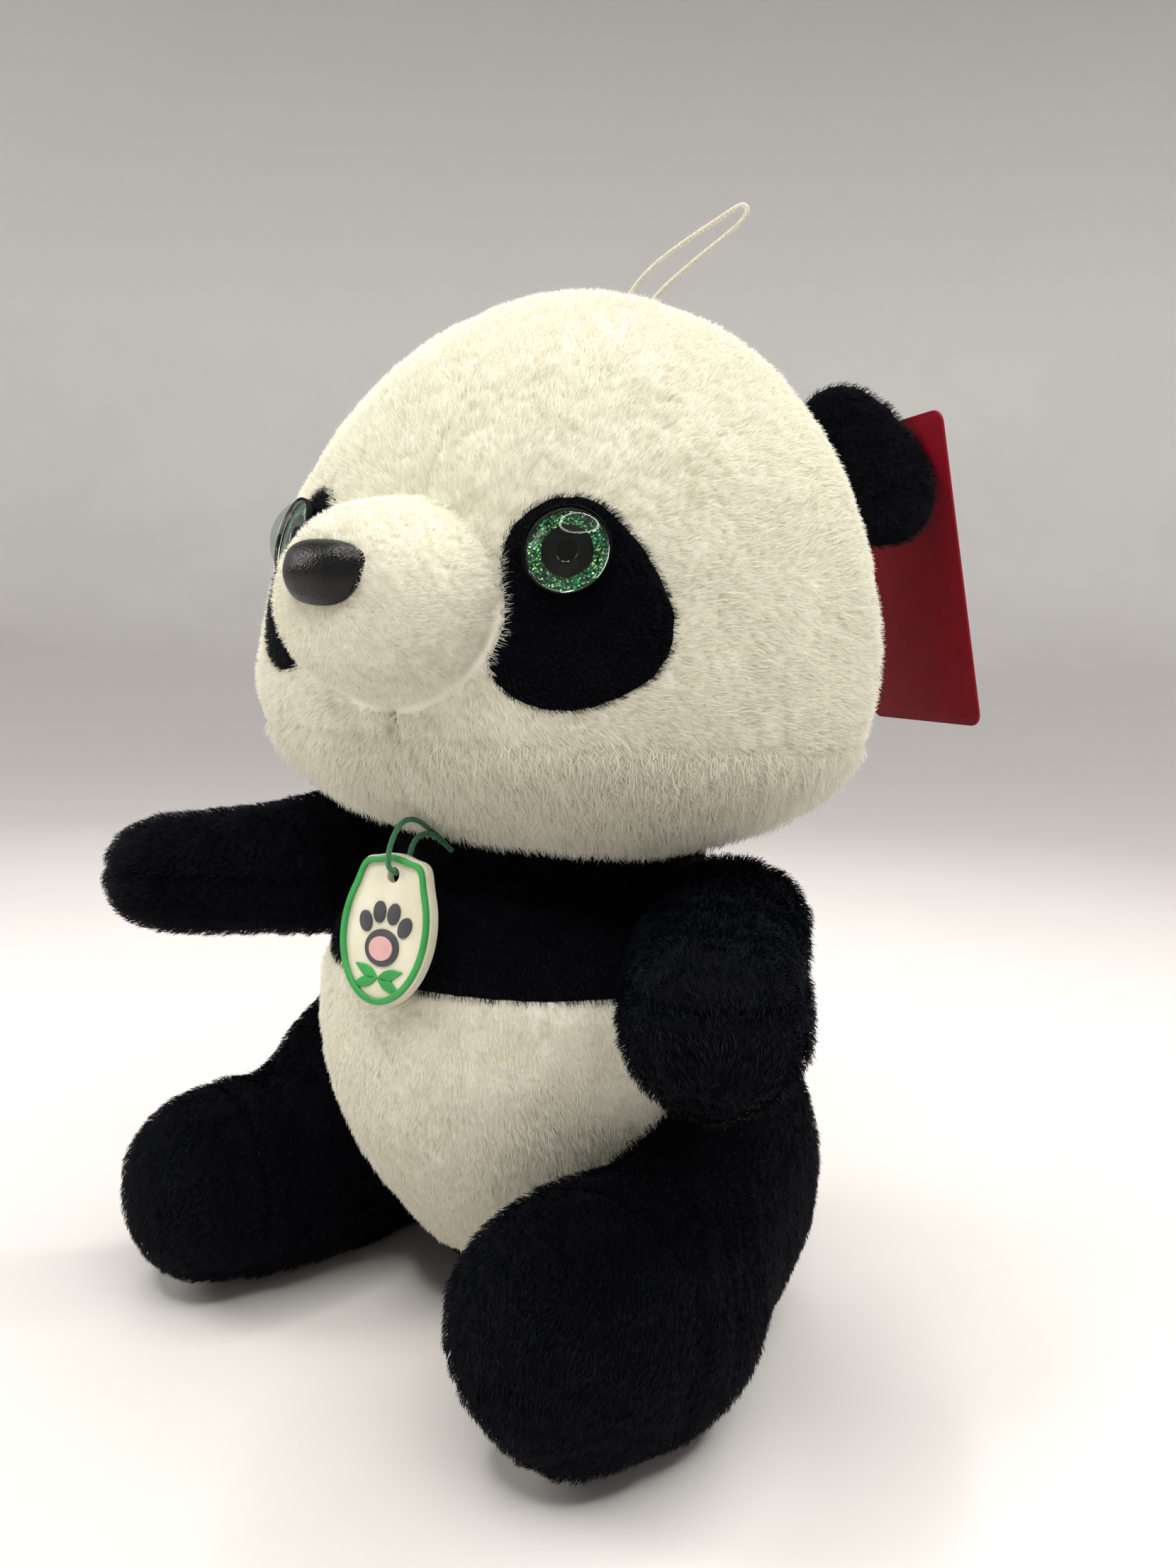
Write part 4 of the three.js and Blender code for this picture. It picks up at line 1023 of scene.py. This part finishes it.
def make_ear(side_name, side, layer_name, face):
    """One layer of an ear, crowned outward and flat where it meets the other."""
    turns = around(72)

    def ring(reach, lift):
        x = EAR["half_width"] * reach * np.cos(turns)
        y = EAR["height"] * (0.42 + 0.58 * reach * np.sign(np.sin(turns)) * np.abs(np.sin(turns)) ** 0.9)
        z = lift + EAR["cup"] * (x / EAR["half_width"]) ** 2 + 0.004 * y * y
        return np.stack([x, y, z], 1)

    def lift_at(reach):
        return face * (0.3 + EAR["layer"] * math.sqrt(max(1 - reach**2.6, 0)))

    outer = [ring(r, lift_at(r)) for r in np.linspace(0.04, 1, 20)]
    inner = [ring(r, face * 0.12) for r in np.linspace(1, 0.05, 10)]
    grid = np.array(outer + inner) * MM
    ear = capped_grid(f"ear_{layer_name}_plush_{side_name}", grid, grid[0].mean(0), grid[-1].mean(0))
    subdivided(ear, 1)
    ear.data.transform(ear_matrix(side))
    points, normals = points_of(ear.data), normals_of(ear.data)
    relief = 0.5 * lattice_noise(points, 0.012, 41) + 0.3 * lattice_noise(points, 0.003, 42)
    relief += 0.2 * lattice_noise(points, 0.0016, 43)
    set_points(ear.data, points + normals * relief[:, None] * MM)
    smooth_shading(ear)
    ear.data.materials.append(MATERIALS["black"])
    return ear


ears = {
    (name, layer): make_ear(name, side, layer, face)
    for name, side in SIDES.items() for layer, face in (("front", 1), ("back", -1))
}

head_pieces = [muzzle_cover, head_stuffing, muzzle_stuffing, nose, *head_covers.values(), *patches.values()]
head_pieces += [part for eye in eyes.values() for part in eye.values()]
leaned(*head_pieces, *ears.values(), head_form, muzzle_form)

upright = np.array(lean_matrix.inverted())


def to_upright(points):
    return points @ upright[:3, :3].T + upright[:3, 3]


def on_head(points):
    """Head fibres grow outside the patches and outside the muzzle's root."""
    place = to_upright(points)
    local = place / MM
    inside_muzzle = ((local[:, 0] / (MUZZLE["half_width"] - 2)) ** 2
                     + ((local[:, 2] - MUZZLE["level"]) / (MUZZLE["half_height"] - 2)) ** 2 < 1)
    return ~(inside_patch(place, -0.6) | (inside_muzzle & (local[:, 1] < 0)))


for name, piece in head_covers.items():
    show(piece, "head", f"head_cover_{name}")
show(muzzle_cover, "head", "muzzle_cover")
for piece, node in ((head_stuffing, "head_stuffing"), (muzzle_stuffing, "muzzle_stuffing")):
    show(piece, "head", node)
for name, patch in patches.items():
    show(patch, "head", f"eye_patch_{name}")
for name, eye in eyes.items():
    for part, piece in eye.items():
        show(piece, "head", f"eye_{part}_{name}")
show(nose, "head", "nose")
for (name, layer), ear in ears.items():
    show(ear, f"ear_{name}", f"ear_{layer}_{name}")

nose_tip = (6, -96, 205)
CHIN_TOP = 170               # the longer pile of the chin grows below this height
grow_pile("head_pile", head_form, "head", MATERIALS["white_pile"], 2.2, 3.6, flow_from(nose_tip),
          keep=on_head, seed=101)
grow_pile("chin_pile", head_form, "head", MATERIALS["white_pile"], 1.2, 5.6, steady_flow((0.1, 0.1, -1)),
          seed=121, keep=lambda p: on_head(p) & (p[:, 2] < CHIN_TOP * MM), lay=0.65, wild=0.4)
grow_pile("muzzle_pile", muzzle_form, "head", MATERIALS["white_pile"], 3.0, 2.4, flow_from((6, -110, 207)),
          seed=102, radius=0.06)
for name, patch in patches.items():
    grow_pile(f"eye_patch_pile_{name}", patch, "head", MATERIALS["black_pile"], 2.6, 1.9, flow_from(nose_tip),
              seed=103, radius=0.07)
for (name, layer), ear in ears.items():
    grow_pile(f"ear_{layer}_pile_{name}", ear, f"ear_{name}", MATERIALS["black_pile"], 1.6, 2.4,
              flow_from((0, 0, 215)), seed=104, radius=0.07)


# ------------------------------------------------------------------ torso

def make_torso():
    levels = np.array(TORSO_LEVELS, float)
    heights = np.concatenate([[0, 1.5, 3.5], np.linspace(6, 128, 44), [130, 131.8, 133]])
    turns = around(72)
    half, front, back = (np.interp(heights, levels[:, 0], levels[:, k]) for k in (1, 2, 3))
    middle, depth = (front + back) / 2, (back - front) / 2
    grid = np.stack([
        (half[:, None] - 0.8) * np.cos(turns), middle[:, None] + (depth[:, None] - 0.8) * np.sin(turns),
        heights[:, None] + 0 * turns], -1) * MM
    torso = capped_grid("torso_form", grid, (0, 13 * MM, 0), (0, -5 * MM, 134 * MM))
    remeshed(torso, 5.0)
    relaxed(torso, 3)
    points = points_of(torso.data) / MM
    held = np.exp(-(((points[:, 2] - BAND_EDGE) / 4) ** 2)) * (points[:, 1] < SIDE_SEAM)
    held = np.maximum(held, points[:, 2] < 4)
    stuff(torso, 2.0, pinned=held)
    points = points_of(torso.data)
    points[:, 2] = np.maximum(points[:, 2], 0.0004)
    set_points(torso.data, points)
    return torso


torso_form = make_torso()
torso_stuffing = filling(torso_form, "torso_fill")
subdivided(torso_form, 2)
soften(torso_form, grooves=[
    (lambda p: np.where(p[:, 1] < SIDE_SEAM, np.abs(p[:, 2] - BAND_EDGE), 99), 1.6, 1.6),
    (lambda p: np.where(p[:, 2] > SEAT_EDGE, np.abs(p[:, 1] - SIDE_SEAM), 99), 1.2, 1.4),
    (lambda p: np.abs(p[:, 2] - SEAT_EDGE), 1.0, 1.4),
], pile=0.35, lumps=0.7, seed=51)
above, below = (0, 0, 1), (0, 0, -1)
forward, rearward = (0, -1, 0), (0, 1, 0)
TORSO_PANELS = {
    "chest_panel": ("black", [((0, 0, BAND_EDGE + 0.1), below), ((0, SIDE_SEAM - 0.1, 0), rearward)]),
    "belly_panel": ("white", [((0, 0, BAND_EDGE - 0.1), above), ((0, 0, SEAT_EDGE + 0.1), below),
                              ((0, SIDE_SEAM - 0.1, 0), rearward)]),
    "back_panel": ("black", [((0, 0, SEAT_EDGE + 0.1), below), ((0, SIDE_SEAM + 0.1, 0), forward)]),
    "seat_panel": ("black", [((0, 0, SEAT_EDGE - 0.1), above)]),
}
for node, (colour, planes) in TORSO_PANELS.items():
    panel = cut_panel(torso_form, f"{node}_plush", planes)
    panel.data.materials.append(MATERIALS[colour])
    show(panel, "torso", node)
show(torso_stuffing, "torso", "torso_stuffing")


def is_white_belly(points):
    local = points / MM
    return (local[:, 2] < BAND_EDGE) & (local[:, 2] > SEAT_EDGE) & (local[:, 1] < SIDE_SEAM)


def clear_of_floor(points):
    return points[:, 2] > 0.002


grow_pile("belly_pile", torso_form, "torso", MATERIALS["white_pile"], 2.2, 3.0, steady_flow((0.1, 0, -1)),
          keep=is_white_belly, seed=111)
grow_pile("torso_pile", torso_form, "torso", MATERIALS["black_pile"], 1.6, 2.6, steady_flow((0.1, 0, -1)),
          keep=lambda p: ~is_white_belly(p) & clear_of_floor(p), seed=112)

neck_profile = [(0, 116), (38, 116), (43, 120), (45, 126), (44, 133), (43, 140), (41, 147), (36, 151),
                (20, 153), (0, 153)]
neck = lathe("neck_collar", neck_profile, 72, lean_matrix)
subdivided(neck, 1)
neck.data.materials.append(MATERIALS["black"])
show(neck, "neck", "neck_stuffing")
grow_pile("neck_pile", neck, "neck", MATERIALS["black_pile"], 2.0, 2.6, steady_flow((0.1, 0, -1)), seed=113)


# ------------------------------------------------------------------ limbs

def finish_limb(form, name, body, split, cover_names, seam_depth, seed, length, flow, per_mm2=1.6, pile=0.45):
    """Shows a limb's two covers, its filling and its pile. split is the seam's plane in mm."""
    place, outward = np.array(split[0], float), np.array(split[1], float)
    stuffing = filling(form, f"{name}_fill")
    subdivided(form, 2)
    soften(form, grooves=[(lambda p: np.abs((p - place) @ outward), seam_depth, 1.5)], pile=pile, lumps=0.8,
           seed=seed)
    points = points_of(form.data)
    points[:, 2] = np.maximum(points[:, 2], 0.0003)
    set_points(form.data, points)
    for node, way in cover_names:
        cover = cut_panel(form, f"{node}_plush", [(place - 0.1 * way * outward, tuple(way * outward))])
        cover.data.materials.append(MATERIALS["black"])
        show(cover, body, node)
    show(stuffing, body, name)
    grow_pile(f"{body}_pile", form, body, MATERIALS["black_pile"], per_mm2, length, flow, seed=seed + 7,
              keep=clear_of_floor)
    bpy.data.objects.remove(form)


def make_arm(side_name, side):
    aim = Vector(ARM_AIM[side_name]).normalized()
    across = aim.cross(Vector((0, 0, 1))).normalized()
    up = across.cross(aim).normalized()
    start = Vector((side * (SHOULDER[0] + 4), SHOULDER[1], SHOULDER[2])) + aim * -14
    reach = ARM["length"] + 14
    turns = around(48)
    rings = []
    for share in np.linspace(0.01, 0.99, 30):
        swell = ARM["root"] + (ARM["paw"] - ARM["root"]) * share - 0.8
        radius = swell * math.sqrt(1 - abs(2 * share - 1) ** 6)
        centre = np.array(start + aim * (share * reach))
        rings.append(centre + radius * (np.cos(turns)[:, None] * np.array(across)
                                        + ARM["flatness"] * np.sin(turns)[:, None] * np.array(up)))
    grid = np.array(rings) * MM
    form = capped_grid(f"arm_form_{side_name}", grid, start * MM, (start + aim * reach) * MM)
    remeshed(form, 4.5)
    relaxed(form, 2)
    points = points_of(form.data) / MM
    along = (points - np.array(start)) @ np.array(aim)
    near_root = np.exp(-(((along - 18) / 34) ** 2))
    above = np.clip((points[:, 2] - SHOULDER[2] + 8) / 22, 0, 1)
    outside = np.clip((points[:, 2] - 95) / 15, 0, 1)
    swell = SHOULDER_SWELL[side_name]
    points += (near_root * outside)[:, None] * np.array((side * swell[0], 0.4 * swell[0], 0))
    points[:, 2] += near_root * above * swell[1]
    points[:, 2] -= 8 * np.clip((12 - along) / 24, 0, 1) * np.clip((points[:, 2] - 115) / 20, 0, 1)
    set_points(form.data, points * MM)
    held = np.exp(-(((points[:, 2] - SHOULDER[2]) / 3) ** 2))
    stuff(form, 2.0, pinned=held)
    return form, aim


for name, side in SIDES.items():
    arm_form, aim = make_arm(name, side)
    finish_limb(arm_form, f"arm_stuffing_{name}", f"arm_{name}", ((0, 0, SHOULDER[2]), (0, 0, 1)),
                ((f"arm_upper_panel_{name}", -1), (f"arm_under_panel_{name}", 1)), 1.6, 61 + side, 3.2,
                steady_flow((aim.x, aim.y, -0.5)))


def shape_foot(form, hip, out, backward, side_name):
    """Draws the foot in below its middle, so that the sole is egg-shaped with its point down, and sets it
    forward."""
    points = points_of(form.data) / MM
    local = points - hip
    forward = -(local @ backward)
    foot = np.clip((forward - 50) / 30, 0, 1)
    below = np.clip((36 - local[:, 2]) / 36, 0, 1) ** 1.3
    centre = 24 - 0.5 * FOOT_TURN[side_name] * np.clip((forward - 57) / 28, 0, 1)
    pull = -0.32 * foot * below * (local @ out - centre)
    move = pull[:, None] * out - 5.5 * foot[:, None] * backward
    if side_name == "right":
        thigh = np.exp(-(((forward - 34) / 20) ** 2)) * np.clip((local[:, 2] - 35) / 25, 0, 1)
        move += thigh[:, None] * (6 * out + np.array((0, 0, 4)))
        move[:, 2] -= 10 * np.clip((forward - 44) / 18, 0, 1) * np.clip(local[:, 2] / 60, 0, 1)
        move += (3.5 * foot)[:, None] * out
    set_points(form.data, (points + move) * MM)


def make_leg(side_name, side):
    splay = SPLAY[side_name]
    out = np.array((side * math.cos(splay), math.sin(splay), 0))
    backward = np.array((-side * math.sin(splay), math.cos(splay), 0))
    hip = np.array((side * HIP["x"], HIP["y"], 0.0))
    stations = np.array(LEG_STATIONS, float)
    along = np.concatenate([[34], np.linspace(31, -95, 40), [-97.5]])
    order = np.argsort(stations[:, 0])
    half_width, half_height, middle, apart = (
        np.interp(along, stations[order, 0], stations[order, k]) for k in (1, 2, 3, 4))
    half_width[0] *= 0.6
    half_height[0] *= 0.6
    half_width[-1] *= 0.6
    half_height[-1] *= 0.6
    apart = apart - FOOT_TURN[side_name] * np.clip((-along - 57) / 28, 0, 1)
    turns = around(56)
    rings = []
    for place, width, height, level, far in zip(along, half_width, half_height, middle, apart):
        centre = hip + out * far + backward * place + np.array((0, 0, level))
        rings.append(centre + (width - 0.8) * np.cos(turns)[:, None] * out
                     + (height - 0.8) * np.sin(turns)[:, None] * np.array((0, 0, 1)))
    (heel, heel_level, heel_far), (toe, toe_level, toe_far) = LEG_ENDS
    toe_far -= FOOT_TURN[side_name]
    ends = [hip + out * far + backward * place + np.array((0, 0, level))
            for place, level, far in ((heel, heel_level, heel_far), (toe, toe_level, toe_far))]
    form = capped_grid(f"leg_form_{side_name}", np.array(rings) * MM, ends[0] * MM, ends[1] * MM)
    remeshed(form, 5.0)
    relaxed(form, 3)
    local = points_of(form.data) / MM - hip
    held = np.exp(-(((local @ backward + SOLE_SEAM) / 3) ** 2))
    held = np.maximum(held, local[:, 2] < 3)
    stuff(form, 2.0, pinned=held)
    shape_foot(form, hip, out, backward, side_name)
    return form, hip - backward * SOLE_SEAM, backward


for name, side in SIDES.items():
    leg_form, seam_place, backward = make_leg(name, side)
    finish_limb(leg_form, f"leg_stuffing_{name}", f"leg_{name}", (seam_place, backward),
                ((f"leg_cover_{name}", -1), (f"sole_panel_{name}", 1)), 1.5, 71 + side, 2.8,
                steady_flow((0, -0.6, -0.5)))


# ------------------------------------------------------------------ tag

TAG = dict(width=56, height=90, card=0.8, hole=2, from_top=6, corner=4, lean=0.215, turn=-0.634,
           hook=(68.9, 68.9, 254.3))


def flat_plate(name, outline, low, high, place, hole=None, bevel=0.15):
    """A plate with a softened edge from an outline in mm, with an optional round hole."""
    shape = bmesh.new()
    loops = [outline] + ([hole] if hole is not None else [])
    edges = []
    for loop in loops:
        ring = [shape.verts.new((x * MM, y * MM, low * MM)) for x, y in loop]
        edges += [shape.edges.new((ring[k], ring[(k + 1) % len(ring)])) for k in range(len(ring))]
    bmesh.ops.triangle_fill(shape, use_beauty=True, use_dissolve=False, edges=edges)
    grown = bmesh.ops.extrude_face_region(shape, geom=shape.faces[:])
    lifted = [v for v in grown["geom"] if isinstance(v, bmesh.types.BMVert)]
    bmesh.ops.translate(shape, verts=lifted, vec=(0, 0, (high - low) * MM))
    bmesh.ops.recalc_face_normals(shape, faces=shape.faces)
    mesh = bpy.data.meshes.new(name)
    shape.to_mesh(mesh)
    shape.free()
    piece = linked(name, mesh)
    if bevel:
        rounding = piece.modifiers.new("edge", "BEVEL")
        rounding.width = bevel * MM
        rounding.segments = 3
        rounding.limit_method = "ANGLE"
        rounding.angle_limit = math.radians(50)
        bake_modifiers(piece)
    piece.data.transform(place)
    smooth_by_angle(piece)
    return piece


def smooth_by_angle(piece, limit=0.6):
    """Smooth shading that keeps creases sharper than a limit."""
    smooth_shading(piece)
    shape = bmesh.new()
    shape.from_mesh(piece.data)
    for edge in shape.edges:
        edge.smooth = len(edge.link_faces) == 2 and edge.calc_face_angle(0) < limit
    shape.to_mesh(piece.data)
    shape.free()


def circle(radius, count=40, centre=(0, 0)):
    return [(centre[0] + radius * math.cos(t), centre[1] + radius * math.sin(t))
            for t in around(count)]


def rounded_card(width, height, top, corner):
    outline = []
    right, bottom = width / 2, top - height
    for cx, cy, start in ((right - corner, top - corner, 0), (-right + corner, top - corner, 1),
                          (-right + corner, bottom + corner, 2), (right - corner, bottom + corner, 3)):
        for t in np.linspace(0, math.pi / 2, 9):
            angle = start * math.pi / 2 + t
            outline.append((cx + corner * math.cos(angle), cy + corner * math.sin(angle)))
    return outline


tag_place = (Matrix.Translation(Vector(TAG["hook"]) * MM) @ Matrix.Rotation(TAG["turn"], 4, "Z")
             @ Matrix.Rotation(math.pi / 2 + TAG["lean"], 4, "X"))
tag = flat_plate("swing_tag_card", rounded_card(TAG["width"], TAG["height"], TAG["from_top"], TAG["corner"]),
                 -TAG["card"] / 2, TAG["card"] / 2, tag_place, circle(TAG["hole"], 24), 0.12)
tag.data.materials.append(MATERIALS["card"])
show(tag, "swing_tag", "swing_tag")


# ------------------------------------------------------------------ medal

MEDAL = dict(x=1.5, half_width=15, half_height=19, plate=2.4, rim=1.9, rim_height=1, hole=2, bar=1.6,
             lean=0.2)
medal_place = (Matrix.Translation(Vector((MEDAL["x"], -67.5, 138)) * MM)
               @ Matrix.Rotation(math.pi / 2 - MEDAL["lean"], 4, "X"))


def medal_outline(inset, count=120):
    """An egg with two round bumps at its upper corners, shrunk by inset."""
    points = []
    for angle in around(count):
        bumps = sum(0.1 * math.exp(-(((angle - at) / 0.22) ** 2)) for at in (0.9, math.pi - 0.9))
        swell = 1 + bumps - 0.05 * math.sin(angle)
        points.append(((MEDAL["half_width"] * swell - inset) * math.cos(angle),
                       (MEDAL["half_height"] * swell - inset) * math.sin(angle)
                       + MEDAL["bar"] - 0.95 * MEDAL["half_height"]))
    return points


def oval(centre, half, turn=0.0, count=40):
    c, s = math.cos(turn), math.sin(turn)
    return [(centre[0] + half[0] * math.cos(t) * c - half[1] * math.sin(t) * s,
             centre[1] + half[0] * math.cos(t) * s + half[1] * math.sin(t) * c)
            for t in around(count)]


def leaf(root, length, width, turn, count=24):
    """A pointed leaf from its root, at a turn from straight up."""
    points = []
    for k in range(count * 2):
        share = k / count if k < count else 2 - k / count
        way = 1 if k < count else -1
        x = way * width * math.sin(math.pi * share) * (1.15 - 0.5 * share)
        y = length * share
        points.append((root[0] + x * math.cos(turn) - y * math.sin(turn),
                       root[1] + x * math.sin(turn) + y * math.cos(turn)))
    return points


front = MEDAL["plate"] / 2
plate = flat_plate("medal_disc", medal_outline(0), -front, front, medal_place,
                   circle(MEDAL["hole"], 32, (0, -3.9)), 0.35)
plate.data.materials.append(MATERIALS["plate"])
show(plate, "medal", "medal_plate")
rim = flat_plate("medal_border", medal_outline(0.5), front + 0.02, front + 0.1 + MEDAL["rim_height"],
                 medal_place, medal_outline(0.5 + MEDAL["rim"] - 0.3), 0.35)
rim.data.materials.append(MATERIALS["rim"])
show(rim, "medal", "medal_rim")

MARKS = [
    ("pad", "mark", oval((0, -22), (5.6, 4.6))),
    ("pad_top", "blush", oval((0, -22.2), (3.9, 3.0))),
]
MARKS += [(f"toe_{k}", "mark", oval((x, y), (2.0, 2.7), turn)) for k, (x, y, turn) in enumerate(
    ((-6.6, -16.2, 0.45), (-2.4, -13.4, 0.12), (2.4, -13.4, -0.12), (6.6, -16.2, -0.45)))]
MARKS += [(f"leaf_{k}", "rim", leaf((0, -29.5), 8.5, 1.5, turn))
          for k, turn in enumerate((1.25, 1.9, -1.25, -1.9))]
for mark_name, colour, outline in MARKS:
    high = 0.5 if colour != "blush" else 0.8
    mark = flat_plate(f"medal_{mark_name}", outline, front + 0.02, front + high, medal_place, None, 0.15)
    mark.data.materials.append(MATERIALS[colour])
    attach(mark, "medal")


# ------------------------------------------------------------------ CAD pieces that keep their shape

KEPT = {"tag_pin": "pin", "nose_washer": "washer", "eye_washer_left": "washer", "eye_washer_right": "washer"}
for node, material in KEPT.items():
    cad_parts[node].data.materials.clear()
    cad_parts[node].data.materials.append(MATERIALS[material])

for leftover in (head_form, muzzle_form, torso_form):
    bpy.data.objects.remove(leftover)
